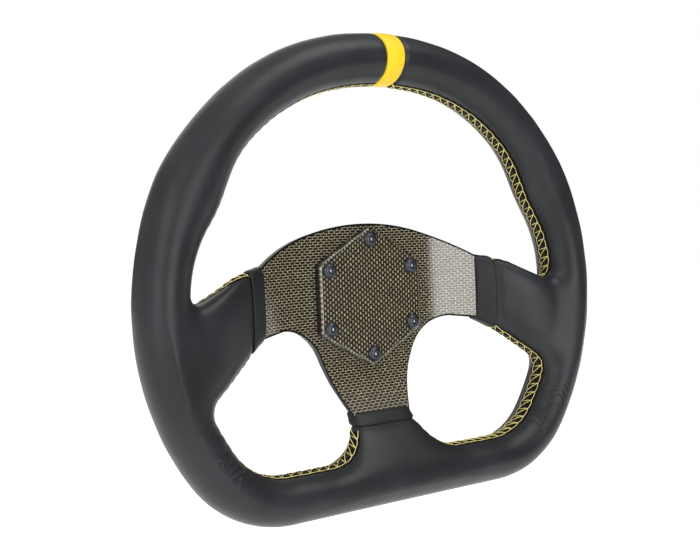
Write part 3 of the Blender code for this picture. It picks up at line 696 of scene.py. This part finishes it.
def band_profile(start, end):
    """Wall section of a cuff as (along, lift): rolled lip at the mouth, flat back, edge tucked in."""
    inner = -LEATHER / MM
    length = (end - start) / MM
    section = [
        (0.0, inner), (-0.1, -0.6), (0.0, 0.0), (0.35, 0.38), (0.9, 0.52), (2.0, 0.50),
        (length * 0.5, 0.42), (length - 2.4, 0.48), (length - 1.3, 0.46), (length - 0.6, 0.24),
        (length - 0.2, -0.15), (length - 0.05, -0.55), (length - 0.35, -0.85), (length - 1.2, -0.7),
        (length - 2.6, -0.1), (length - 4.2, -0.15), (length - 4.6, inner), (length * 0.4, inner),
    ]
    return np.array(section) * MM


def make_cuff(spoke):
    """A cuff: its wall section carried once round the spoke's rounded box, with shallow stretch folds."""
    table = LOWER_TABLE if spoke == "lower" else SIDE_TABLE
    rows = LOWER_SLEEVE if spoke == "lower" else SIDE_SLEEVE
    around = TAU * np.arange(192)[:, None] / 192
    along, lift = (band_profile(rows[0, 0], rows[1, 0]) + (rows[0, 0], 0.0)).T[:, None, :]
    middle, width, thick = sleeve_row(table, along)
    ends = 0.35 * MM * np.exp(-(np.sin(around) / 0.12) ** 2)
    folds = 0.07 * MM * np.sin(7.0 * around + along * 700.0) * np.sin(3.0 * around + 1.0)
    outer = lift > -0.3 * MM
    lift = lift + outer * (folds + ends * (along > rows[1, 0] - 3.0 * MM))
    power = 2.0 / SLEEVE_POWER
    across = np.sign(np.cos(around)) * np.abs(np.cos(around)) ** power * (width + lift) + middle
    deep = np.sign(np.sin(around)) * np.abs(np.sin(around)) ** power * (thick + lift)
    along = along + 0.0 * across
    if spoke == "lower":
        x, z = across, -along
        y = ARMATURE_MID_Y - dish_rise(0.0 * z, z) + deep
    else:
        x, z = (along if spoke == "right" else -along), across
        y = ARMATURE_MID_Y - dish_rise(x, 0.0 * x) + deep
    points = np.stack([x, y, z], -1)
    name = spoke + "_cuff_band"
    piece = make_piece(name, points, grid_faces(*points.shape[:2], True, True), CUFF_LEATHER)
    outward(piece)
    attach(piece, "wheel")
    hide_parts(spoke + "_cuff")


def crown_point(along, around, lift):
    """Point on the grip near twelve o'clock: the centreline's arc plus an oval of the grip's half sizes."""
    angle = math.pi / 2 - along / RIM_RADIUS
    x = RIM_RADIUS * np.cos(angle)
    z = RIM_ARC_Z + RIM_RADIUS * np.sin(angle) - TOP_FLATTENING * np.exp(-(x / TOP_FLAT_HALF) ** 2)
    radial = (grip_half(x, z) + lift) * np.cos(around)
    return np.stack([x + np.cos(angle) * radial, RIM_Y + (GRIP_HALF_AXIAL + lift) * np.sin(around),
                     z + np.sin(angle) * radial], -1)


def make_centre_mark():
    """The yellow strip: a low crown that dives into the seam at both edges, puckered by small stitches."""
    half = np.array([
        (0.0, 0.32), (2.0, 0.30), (3.6, 0.26), (4.7, 0.15), (5.4, -0.05), (5.9, -0.35), (6.25, -0.8),
        (6.4, -1.3), (6.0, -1.75), (4.0, -1.3), (0.0, -1.25),
    ]) * MM
    loop = np.concatenate([half, half[-2:0:-1] * (-1.0, 1.0)])
    around = TAU * np.arange(216)[:, None] / 216
    along, lift = loop.T[:, None, :]
    pucker = 0.06 * MM * np.sin(around * 52.0) * (np.abs(along) > 3.0 * MM) * (lift > -0.5 * MM)
    points = crown_point(along + 0.0 * around, around + 0.0 * along, lift + pucker)
    piece = make_piece("yellow_mark", points, grid_faces(*points.shape[:2], True, True), YELLOW_LEATHER)
    outward(piece)
    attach(piece, "wheel")
    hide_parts("centre_mark")


# ---------------------------------------------------------------- laced seams

def opening_edge(centre, start, end, count=900):
    """The inner edge of a hand opening, evenly spaced, from a ray at one angle to a ray at another.

    Along each ray the least height over all depths is found, and its zero is closed in on by halving."""
    turn = np.linspace(math.radians(start), math.radians(end), count)
    ray = np.stack([np.cos(turn), np.sin(turn)], -1)
    depth = np.linspace(-96.0 * MM, -50.0 * MM, 47)

    def least(reach):
        flat = np.array(centre) + ray * reach[:, None]
        points = np.zeros((count, len(depth), 3))
        points[..., 0] = flat[:, None, 0]
        points[..., 1] = depth
        points[..., 2] = flat[:, None, 1]
        height = leather_height(points)
        best = np.clip(height.argmin(1), 1, len(depth) - 2)
        rows = np.arange(count)
        a, b, c = height[rows, best - 1], height[rows, best], height[rows, best + 1]
        bend = np.maximum(a - 2.0 * b + c, 1e-9)
        return height[rows, best], depth[best] + 0.5 * (a - c) / bend * (depth[1] - depth[0])

    far = np.full(count, 5.0 * MM)
    open_ray = np.ones(count, bool)
    while open_ray.any() and far.max() < 170.0 * MM:
        far = np.where(open_ray, far + 2.0 * MM, far)
        open_ray = open_ray & (least(far)[0] > 0.0)
    near = far - 2.0 * MM
    for _ in range(12):
        mid = (near + far) / 2.0
        clear = least(mid)[0] > 0.0
        near, far = np.where(clear, mid, near), np.where(clear, far, mid)
    flat = np.array(centre) + ray * near[:, None]
    y = least(near)[1]
    bell = np.hanning(63)[1:-1]
    bell /= bell.sum()
    y = np.convolve(np.pad(y, 30, mode="edge"), bell, mode="valid")
    return np.stack([flat[:, 0], y, flat[:, 1]], -1)


class Seam:
    """A strip of the wrap's surface: a point for each distance along the edge and across it."""

    def __init__(self, centre, start, end, half=LACE_HALF, back=0.0):
        line = opening_edge(centre, start, end)
        step = np.linalg.norm(np.diff(line, axis=0), axis=1)
        self.length_at = np.concatenate([[0.0], np.cumsum(step)])
        self.line = line
        self.length = self.length_at[-1]
        self.half = half
        self.back = back

    def at(self, along, across, lift):
        """Starts at the edge line, or behind it near the far end, steps across along Y and settles."""
        along, across, lift = np.broadcast_arrays(along, across, lift)
        base = np.stack([np.interp(along, self.length_at, self.line[:, k]) for k in range(3)], -1)
        from_end = self.length - along
        base[..., 1] += across + self.back * (1.0 - ease(from_end / (45.0 * MM)))
        base = settle(leather_height, base, 4)
        normal = slope_of(leather_height, base)
        normal /= np.linalg.norm(normal, axis=-1, keepdims=True)
        return base + normal * lift[..., None], normal


def thread_runs(seam):
    """Every thread of a lacing as (along, across, lift) lines.

    From each hole one thread goes nearly square across and one slants to the next pair, and on both
    sides a bowed thread joins neighbouring holes. The ends dip into the holes."""
    count = int(seam.length / LACE_PITCH)
    pitch = seam.length / count
    hole = np.arange(count)[:, None] * pitch
    t = np.linspace(0.0, 1.0, 9)[None, :]
    dip = np.sin(math.pi * t) ** 0.5
    lift = THREAD * (1.9 * dip - 0.9)
    uneven = np.sin(np.arange(count) * 2.4)[:, None]
    half = seam.half * (1.0 + 0.05 * uneven)
    bow = 0.8 * MM * (1.0 - np.abs(2.0 * t - 1.0) ** 1.6)
    square = (hole + 0.3 * pitch * t, half * (2.0 * t - 1.0), lift)
    slant = (hole + pitch * t, half * (2.0 * t - 1.0), lift + 0.9 * THREAD * np.sin(math.pi * t))
    front = (hole + pitch * t, -half - bow, lift)
    back = (hole + pitch * t, half + bow, lift)
    sets = [square, slant, front, back]
    return [np.concatenate([np.broadcast_to(s[k], (count, 9)) for s in sets]) for k in range(3)]


def make_lacing(name, node_name, seam):
    """Round threads: six-sided rings round each line, square to its direction, with closed ends."""
    along, across, lift = thread_runs(seam)
    centre, normal = seam.at(along, across, lift)
    run = np.gradient(centre, axis=1)
    run /= np.linalg.norm(run, axis=-1, keepdims=True)
    beside = np.cross(run, normal)
    beside /= np.linalg.norm(beside, axis=-1, keepdims=True)
    above = np.cross(beside, run)
    turn = TAU * np.arange(6) / 6
    ring = np.cos(turn)[:, None] * beside[..., None, :] + np.sin(turn)[:, None] * above[..., None, :]
    points = centre[..., None, :] + THREAD * ring
    threads, stops, sides = points.shape[:3]
    quads = np.array(grid_faces(stops, sides, False, True))
    first = np.arange(threads) * stops * sides
    faces = (quads[None] + first[:, None, None]).reshape(-1, 4).tolist()
    cap = np.arange(sides)
    faces += (cap[None, ::-1] + first[:, None]).tolist()
    faces += (cap[None] + first[:, None] + (stops - 1) * sides).tolist()
    piece = make_piece(name, points, faces, YELLOW_THREAD)
    sharp_edges(piece, 70.0)
    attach(piece, "wheel")
    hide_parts(node_name)


def make_seam_strip(name, seam):
    """The two leather edges under the lacing: a butt seam with a groove, puckered between the holes."""
    rows = int(seam.length / (0.75 * MM))
    along = np.linspace(0.0, seam.length, rows)[:, None]
    across = np.linspace(-STRIP_HALF, STRIP_HALF, 34)[None, :]
    edge = 1.0 - np.abs(across / STRIP_HALF) ** 6
    groove = np.exp(-(across / (0.55 * MM)) ** 2)
    holes = np.exp(-((np.abs(across) - seam.half) / (0.8 * MM)) ** 2)
    beat = 0.5 + 0.5 * np.cos(TAU * along / (seam.length / int(seam.length / LACE_PITCH)))
    fade = ease(along / (4.0 * MM)) * ease((seam.length - along) / (4.0 * MM))
    lift = (0.34 * edge - 0.42 * groove - 0.42 * holes * beat ** 2 + 0.12 * (1.0 - beat)) * fade - 0.12
    top, normal = seam.at(along, across, lift * MM)
    bottom = top - normal * 0.9 * MM
    rows, columns = top.shape[:2]
    count = rows * columns
    front = np.array(grid_faces(rows, columns))
    ring = border_of(rows, columns)
    faces = front.tolist() + (front[:, ::-1] + count).tolist() + joined(ring, ring + count)
    points = np.concatenate([top.reshape(-1, 3), bottom.reshape(-1, 3)])
    piece = make_piece(name, points, faces, SEAM_LEATHER)
    outward(piece)
    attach(piece, "wheel")


def make_seams():
    """One seam round each hand opening: rays from a point in the opening, between two angles."""
    seams = {
        "upper": Seam((0.0, 60.0 * MM), 207.0, -27.0, 3.3 * MM, 6.0 * MM),
        "left": Seam((-68.0 * MM, -54.0 * MM), 128.0, 333.0),
        "right": Seam((68.0 * MM, -54.0 * MM), 52.0, -153.0),
    }
    for side, seam in seams.items():
        make_lacing(side + "_threads", side + "_lacing", seam)
        make_seam_strip(side + "_seam", seam)


# ---------------------------------------------------------------- plates

def shift_loop(loop, inset):
    """A closed outline moved inwards along its own normals."""
    run = np.roll(loop, -1, axis=0) - np.roll(loop, 1, axis=0)
    run /= np.linalg.norm(run, axis=1, keepdims=True)
    normal = np.stack([run[:, 1], -run[:, 0]], -1)
    area = (loop[:, 0] * np.roll(loop[:, 1], -1) - np.roll(loop[:, 0], -1) * loop[:, 1]).sum()
    return loop - normal * inset * (1.0 if area > 0.0 else -1.0)


def plate_edges(inset, cut_x, cut_z):
    """Top and lower edge of the plate from left to right, each with the same number of (x, z) points."""
    top_x = np.linspace(0.0, cut_x, 60)
    top_z = PLATE_TOP_Z - PLATE_TOP_RADIUS + np.sqrt((PLATE_TOP_RADIUS - inset) ** 2 - top_x ** 2)
    top = np.stack([top_x, top_z], -1)
    turn = np.linspace(NOTCH_END, math.pi / 2, 26)
    notch = NOTCH_RADIUS + inset
    arc = np.stack([NOTCH_X + notch * np.cos(turn), NOTCH_Z + notch * np.sin(turn)], -1)
    low_half = LOWER_CUFF_HALF - inset
    foot = np.stack([np.linspace(0.0, low_half, 12), np.full(12, -cut_z)], -1)
    start = np.array([low_half, -cut_z])
    rise = start + (arc[0] - start) * np.linspace(0.0, 1.0, 14)[1:-1, None]
    slope = (np.array([cut_x, CUFF_Z_LOW + inset]) - arc[-1]) * np.linspace(0.0, 1.0, 11)[1:, None]
    low = np.concatenate([foot, rise, arc, arc[-1] + slope])
    return [np.concatenate([half[:0:-1] * (-1.0, 1.0), half]) for half in (top, low)]


def make_face_plate():
    """Dished plate: rows run straight between the lower and the top edge; rounded rings close the sides.

    Its ends reach under the cuffs, and a narrow strip at its border and its sides are black resin."""
    round_edge = 0.35 * MM
    under = 3.0 * MM - round_edge
    top, low = plate_edges(round_edge, CUFF_X + under, -LOWER_CUFF_Z + under)
    strip = 0.8 * MM / np.linalg.norm(top - low, axis=1)[:, None]
    share = np.concatenate([[0.0], np.linspace(0.0, 1.0, 38), [1.0]])[:, None, None]
    share = np.broadcast_to(share, (40, len(top), 1)).copy()
    share[1:-1] = strip + (1.0 - 2.0 * strip) * share[1:-1]
    flat = low * (1.0 - share) + top * share
    rows, columns = flat.shape[:2]
    flat = flat.reshape(-1, 2)
    ring = border_of(rows, columns)
    edge = flat[ring]
    steps = [(0.3, 0.05), (0.7, 0.3), (1.0, 1.0)]
    levels = [(out, FACE_FRONT_Y + down * round_edge) for out, down in steps]
    levels += [(out, FACE_BACK_Y - down * round_edge) for out, down in reversed(steps)]
    points, faces = [at_depth(flat, FACE_FRONT_Y)], grid_faces(rows, columns)
    last = ring
    first = len(flat)
    for out, y in levels:
        points.append(at_depth(shift_loop(edge, -out * round_edge), y))
        here = first + np.arange(len(edge))
        faces += joined(last, here)
        last = here
        first += len(edge)
    points.append(at_depth(flat, FACE_BACK_Y))
    faces += joined(last, ring + first)
    faces += (np.array(grid_faces(rows, columns))[:, ::-1] + first).tolist()
    points = np.concatenate(points)
    points[:, 1] -= dish_rise(points[:, 0], points[:, 2])
    piece = outward(make_piece("woven_face", points, faces, FACE_WEAVE))
    bordered = np.ones(len(faces), bool)
    bordered[columns - 1:(rows - 2) * (columns - 1)] = False
    paint(piece, BLACK_RESIN, bordered)
    sharp_edges(piece, 50.0)
    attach(piece, "wheel")
    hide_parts("face_plate")


def hex_loop(radius, corner, steps=12):
    """Hexagon with a point at twelve o'clock and arcs at its corners, as (x, z) points."""
    corner = max(corner, 0.05 * MM)
    turn = math.pi / 2 - np.arange(6)[:, None] * math.pi / 3
    bend = np.linspace(math.pi / 6, -math.pi / 6, steps)[None, :]
    centre = radius - corner / math.cos(math.pi / 6)
    x = centre * np.cos(turn) + corner * np.cos(turn + bend)
    z = centre * np.sin(turn) + corner * np.sin(turn + bend)
    return np.stack([x, z], -1).reshape(-1, 2)


def lofted(name, loops, finish):
    """Skin over a list of equal loops, closed at each end by a fan of triangles."""
    loops = np.array(loops)
    count, sides = loops.shape[:2]
    points = np.concatenate([loops.reshape(-1, 3), loops[[0, -1]].mean(1)])
    faces = grid_faces(count, sides, False, True)
    middle = np.full(sides, count * sides)
    here = np.arange(sides)
    faces += np.stack([middle, np.roll(here, -1), here], -1).tolist()
    far = here + (count - 1) * sides
    faces += np.stack([middle + 1, far, np.roll(far, -1)], -1).tolist()
    return outward(make_piece(name, points, faces, finish))


def hex_stack(name, node_name, finish, radius, profile):
    """A hexagonal plate: loops of the given (inset, y) from the back to the front."""
    loops = [at_depth(hex_loop(radius - inset, HEX_CORNER - inset), y) for inset, y in profile]
    piece = lofted(name, loops, finish)
    sharp_edges(piece, 40.0)
    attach(piece, "wheel")
    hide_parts(node_name)


def make_hub_cap():
    """Black spacer, and the woven cap with an edge rounded by a quarter oval."""
    hex_stack("cap_spacer", "hex_spacer", SPACER_PLASTIC, HEX_RADIUS - 0.4 * MM,
              [(0.0, SPACER_BACK_Y), (0.0, SPACER_FRONT_Y)])
    turn = np.linspace(0.0, math.pi / 2, 7)
    across, down = 1.9 * MM, 1.2 * MM
    edge = [(across * (1 - math.cos(t)), CAP_FRONT_Y + down * (1 - math.sin(t))) for t in turn]
    hex_stack("woven_cap", "hex_cap", CAP_WEAVE, HEX_RADIUS, [(0.0, CAP_BACK_Y)] + edge)


# ---------------------------------------------------------------- screws

def make_screw(number, x, z):
    """Button-head screw: a quarter oval over the head, a hexagon socket with a drilled floor, a shank."""
    sides = 48
    turn = TAU * np.arange(sides) / sides
    six = math.cos(math.pi / 6) / np.cos(turn % (math.pi / 3) - math.pi / 6)
    dome = np.linspace(0.0, math.radians(60.0), 9)
    across = np.sin(dome) / np.sin(dome[-1])
    height = (np.cos(dome) - np.cos(dome[-1])) / (1.0 - np.cos(dome[-1]))
    profile = [(0.2, -0.9, True), (1.0, -1.15, True), (1.73, -1.35, True), (1.73, -2.62, True)]
    profile += [(2.0, -2.75, False)]
    profile += [(2.0 + 2.75 * a, -0.55 - 2.2 * h, False) for a, h in zip(across[1:], height[1:])]
    profile += [(4.75, -0.3, False), (4.5, -0.03, False), (2.45, -0.03, False), (2.25, 0.3, False)]
    profile += [(2.25, SCREW_LENGTH / MM - 0.4, False), (1.9, SCREW_LENGTH / MM, False)]
    circle = np.stack([np.cos(turn), np.sin(turn)], -1)
    loops = []
    for radius, y, hexagonal in profile:
        reach = radius * MM * (six if hexagonal else np.ones(sides))
        loops.append(at_depth((x, z) + reach[:, None] * circle, CAP_FRONT_Y + y * MM))
    piece = lofted(f"button_screw_{number}", loops, SCREW_METAL)
    # The drilled floor of the socket gets the light steel: a painted highlight for the bright spot at the
    # socket's bottom, on top of the bare steel there.
    paint(piece, SOCKET_HIGHLIGHT_METAL, np.hypot(*(centres_of(piece)[:, ::2] - (x, z)).T) < 0.95 * MM)
    sharp_edges(piece, 38.0)
    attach(piece, "wheel")
    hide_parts(f"cap_screw_{number}")


# ---------------------------------------------------------------- release hub

def turned(name, profile, finish, sides=144, radius_of=None):
    """A closed (radius, y) profile carried round the axis; radius_of may change a ring with the angle."""
    turn = TAU * np.arange(sides)[:, None] / sides
    profile = np.array(profile) * MM
    radius = profile[None, :, 0] + 0.0 * turn
    if radius_of is not None:
        radius = radius_of(turn, radius)
    points = np.stack([radius * np.cos(turn), profile[None, :, 1] + 0.0 * radius, radius * np.sin(turn)], -1)
    piece = outward(make_piece(name, points, grid_faces(*points.shape[:2], True, True), finish))
    sharp_edges(piece, 35.0)
    return piece


def drill(piece, name, centres, directions, radius, length):
    """Cuts round holes: a cylinder mesh for each hole, taken away and the result kept as the mesh."""
    sides = 24
    points, faces = [], []
    for number, (centre, direction) in enumerate(zip(centres, directions)):
        turn = Vector(direction).to_track_quat("Z", "Y").to_matrix()
        angle = TAU * np.arange(sides) / sides
        ring = np.stack([radius * np.cos(angle), radius * np.sin(angle), 0.0 * angle], -1)
        both = np.concatenate([ring - (0, 0, length / 2), ring + (0, 0, length / 2)])
        points.append(both @ np.array(turn).T + np.array(centre))
        first = number * 2 * sides
        faces += grid_faces(2, sides, False, True, first)
        faces.append((first + np.arange(sides))[::-1].tolist())
        faces.append((first + sides + np.arange(sides)).tolist())
    tool = outward(make_piece(name, np.concatenate(points), faces, STEEL, False))
    cut = piece.modifiers.new("drill", "BOOLEAN")
    cut.operation = "DIFFERENCE"
    cut.solver = "EXACT"
    cut.object = tool
    bpy.context.view_layer.update()
    result = piece.evaluated_get(bpy.context.evaluated_depsgraph_get())
    mesh = bpy.data.meshes.new_from_object(result)
    piece.modifiers.clear()
    piece.data = mesh
    bpy.data.objects.remove(tool)
    sharp_edges(piece, 35.0)


def ball_turns():
    """Angles of the six balls round the axis."""
    return [TAU * k / 6 + math.pi / 6 for k in range(6)]


def make_release_hub():
    """Flange and barrel with a splined bore and six ball holes."""
    def splines(turn, radius):
        tooth = 12.0 * MM + 0.6 * MM * np.clip(2.2 * np.cos(12.0 * turn), -1.0, 1.0)
        return np.where(np.abs(radius - 12.0 * MM) < 0.01 * MM, tooth, radius)

    profile = [
        (42.2, -45.0), (43.0, -44.2), (43.0, -38.8), (42.2, -38.0), (18.4, -38.0), (17.2, -37.6),
        (16.8, -36.6), (16.8, -2.4), (15.6, -2.4), (15.6, -0.6), (16.8, -0.6), (16.8, -0.4),
        (16.4, 0.0), (13.1, 0.0), (12.0, -0.6), (12.0, -34.0), (8.0, -34.0), (8.0, -45.0),
    ]
    piece = turned("hub_flange_and_barrel", profile, BLACK_METAL, 288, splines)
    ways = [(math.cos(a), 0.0, math.sin(a)) for a in ball_turns()]
    centres = [(BALL_CENTRE * x, BALL_Y, BALL_CENTRE * z) for x, _y, z in ways]
    drill(piece, "ball_drill", centres, ways, 3.3 * MM, 10.0 * MM)
    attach(piece, "wheel")
    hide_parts("release_hub")


def make_collar():
    """Sliding collar: grooved body and a lip with thumb scallops; the ball ramp is inside."""
    def scallops(turn, radius):
        cut = 0.8 * MM * np.maximum(np.cos(18.0 * turn), 0.0) ** 1.5
        return np.where(radius > 29.0 * MM, radius - cut, radius)

    profile = [(25.2, -29.0), (26.0, -28.2)]
    for groove in (-25.0, -22.0, -19.0, -16.0):
        profile += [(26.0, groove - 0.7), (25.4, groove - 0.4), (25.4, groove + 0.4), (26.0, groove + 0.7)]
    profile += [(26.0, -9.6), (26.6, -8.4), (29.5, -7.5), (29.5, -3.3), (28.7, -2.5), (19.95, -2.5)]
    profile += [(17.35, -15.5), (17.35, -19.0), (21.5, -19.0), (21.5, -29.0)]
    piece = turned("sliding_collar", profile, BRIGHT_METAL, 288, scallops)
    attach(piece, "collar")
    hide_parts("release_collar")


def make_ring():
    """Retaining ring: a rectangle carried round the axis."""
    piece = turned("snap_ring", [(20.8, -2.1), (20.8, -0.9), (15.95, -0.9), (15.95, -2.1)], STEEL)
    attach(piece, "wheel")
    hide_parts("retaining_ring")


def make_spring():
    """Coil spring: a round wire along a helix whose first and last turns lie flat."""
    turns, radius, wire = 5.0, 19.1 * MM, 0.8 * MM
    start, end = -36.9 * MM, -20.1 * MM
    t = np.linspace(0.0, 1.0, 361)
    lead = np.interp(t, (0.0, 0.12, 0.88, 1.0), (0.0, 0.03, 0.97, 1.0))
    angle = TAU * turns * t
    out = np.stack([np.cos(angle), 0.0 * t, np.sin(angle)], -1)
    centre = out * radius + np.stack([0.0 * t, start + (end - start) * lead, 0.0 * t], -1)
    side = TAU * np.arange(12) / 12
    loops = centre[:, None] + wire * (np.cos(side)[None, :, None] * out[:, None]
                                      + np.sin(side)[None, :, None] * np.array([0.0, 1.0, 0.0]))
    piece = lofted("coil_spring", loops, STEEL)
    sharp_edges(piece, 60.0)
    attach(piece, "wheel")
    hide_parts("collar_spring")
    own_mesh(piece)


def make_balls():
    """Polished balls: circles of latitude from pole to pole."""
    latitude = np.linspace(-math.pi / 2, math.pi / 2, 26)[1:-1]
    turn = TAU * np.arange(36) / 36
    for number, angle in enumerate(ball_turns(), 1):
        centre = np.array([BALL_CENTRE * math.cos(angle), BALL_Y, BALL_CENTRE * math.sin(angle)])
        ring = np.stack([np.cos(latitude)[:, None] * np.cos(turn), np.sin(latitude)[:, None] + 0.0 * turn,
                         np.cos(latitude)[:, None] * np.sin(turn)], -1)
        piece = lofted(f"steel_ball_{number}", centre + BALL_RADIUS * ring, STEEL)
        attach(piece, f"ball_{number}")
        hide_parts(f"lock_ball_{number}")


# ---------------------------------------------------------------- camera, lights and floor

def make_camera():
    """The viewing angle: a bearing, a height and a slight roll round a point left of the hub."""
    bearing, rise, roll = math.radians(-34.03), math.radians(2.71), math.radians(-2.32)
    back = Vector((math.sin(bearing) * math.cos(rise), -math.cos(bearing) * math.cos(rise), math.sin(rise)))
    target = Vector((-19.04, -63.4, 11.42)) * MM
    right = (-back).cross(Vector((0.0, 0.0, 1.0))).normalized()
    up = right.cross(-back)
    across = right * math.cos(roll) + up * math.sin(roll)
    above = up * math.cos(roll) - right * math.sin(roll)
    camera = bpy.data.objects.new("camera", bpy.data.cameras.new("camera"))
    distance = 612.5 * MM
    camera.data.lens = 52.89
    camera.data.clip_start = 0.02
    turned_to_view = Matrix((across, above, back)).transposed().to_4x4()
    camera.matrix_world = Matrix.Translation(target + back * distance) @ turned_to_view
    bpy.context.scene.collection.objects.link(camera)
    bpy.context.scene.camera = camera


def area_light(name, place, aim, size, power):
    """A white rectangle of light that faces its aim."""
    lamp = bpy.data.lights.new(name, "AREA")
    lamp.shape = "RECTANGLE"
    lamp.size, lamp.size_y = size
    lamp.energy = power
    holder = bpy.data.objects.new(name, lamp)
    holder.location = place
    holder.rotation_mode = "QUATERNION"
    holder.rotation_quaternion = (Vector(aim) - Vector(place)).to_track_quat("-Z", "Y")
    bpy.context.scene.collection.objects.link(holder)


def make_floor():
    """A level pale floor well below the wheel, which glows so that it stays even and white.

    On the driver's side it ends a metre from the wheel, because the glossy face would mirror it."""
    finish, tree, shader = new_finish("pale_paper")
    grain = noise(tree, place_of(tree), 8.0)
    paper = ramp(tree, grain, ((0.2, (0.93, 0.93, 0.93)), (0.8, (0.96, 0.96, 0.96))))
    link(tree, paper, shader.inputs["Base Color"])
    shader.inputs["Roughness"].default_value = 0.9
    shader.inputs["Emission Color"].default_value = (1.0, 1.0, 1.0, 1.0)
    shader.inputs["Emission Strength"].default_value = 0.58
    side = np.linspace(-8.0, 8.0, 3)
    deep = np.array([-1.1, 3.0, 8.0])
    corners = np.stack([np.repeat(side, 3), np.tile(deep, 3), np.full(9, -0.42)], -1)
    floor = make_piece("floor", corners, grid_faces(3, 3), finish)
    floor.data.flip_normals()


def make_light():
    """White surroundings that light the wheel less than they show, a glow in front, and three soft panels.

    As light, the surroundings rise from dim on the right to brighter at the upper left, and a round glow
    stands straight in front of the wheel; it fades out with the angle."""
    world = bpy.data.worlds.new("studio")
    bpy.context.scene.world = world
    world.use_nodes = True
    tree = world.node_tree
    way = node(tree, "ShaderNodeTexCoord").outputs["Generated"]

    def facing(direction):
        made = node(tree, "ShaderNodeVectorMath", operation="DOT_PRODUCT")
        link(tree, way, made.inputs[0])
        made.inputs[1].default_value = direction
        return made.outputs["Value"]

    upper_left = facing((-0.55, -0.10, 0.83))
    glow = facing((-0.02, -0.998, 0.06))
    fade = rise_between(tree, glow, math.cos(math.radians(24.0)), math.cos(math.radians(10.0)), 3.6)
    lit = tree.nodes["Background"]
    lit.inputs["Color"].default_value = (1.0, 1.0, 1.0, 1.0)
    base = spread(tree, upper_left, 0.06, 0.85)
    link(tree, maths(tree, "ADD", base, fade), lit.inputs["Strength"])
    seen = node(tree, "ShaderNodeBackground")
    seen.inputs["Color"].default_value = (1.0, 1.0, 1.0, 1.0)
    choice = node(tree, "ShaderNodeMixShader")
    link(tree, node(tree, "ShaderNodeLightPath").outputs["Is Camera Ray"], choice.inputs[0])
    link(tree, lit.outputs[0], choice.inputs[1])
    link(tree, seen.outputs[0], choice.inputs[2])
    link(tree, choice.outputs[0], tree.nodes["World Output"].inputs["Surface"])
    hub = (0.0, -0.06, 0.0)
    area_light("left_panel", (-1.35, -0.85, 0.35), hub, (0.8, 1.3), 7.0)
    area_light("top_panel", (0.30, -0.70, 1.35), hub, (1.2, 0.9), 10.0)
    area_light("back_panel", (0.3, 1.3, 0.7), hub, (1.2, 1.0), 4.0)
    bpy.context.scene.view_settings.view_transform = "Standard"


# ---------------------------------------------------------------- the wheel

make_camera()
make_floor()
make_light()
make_rim_leather()
for spoke_name in ("left", "right", "lower"):
    make_cuff(spoke_name)
make_centre_mark()
make_seams()
make_face_plate()
make_hub_cap()
for screw in range(6):
    screw_turn = math.pi / 2 - TAU * screw / 6
    make_screw(screw + 1, BOLT_CIRCLE * math.cos(screw_turn), BOLT_CIRCLE * math.sin(screw_turn))
make_release_hub()
make_collar()
make_ring()
make_spring()
make_balls()
for node_name, finish in (("spoke_armature", BLACK_METAL), ("rim_core", STEEL), ("rim_foam", FOAM)):
    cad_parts[node_name].data.materials.clear()
    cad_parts[node_name].data.materials.append(finish)
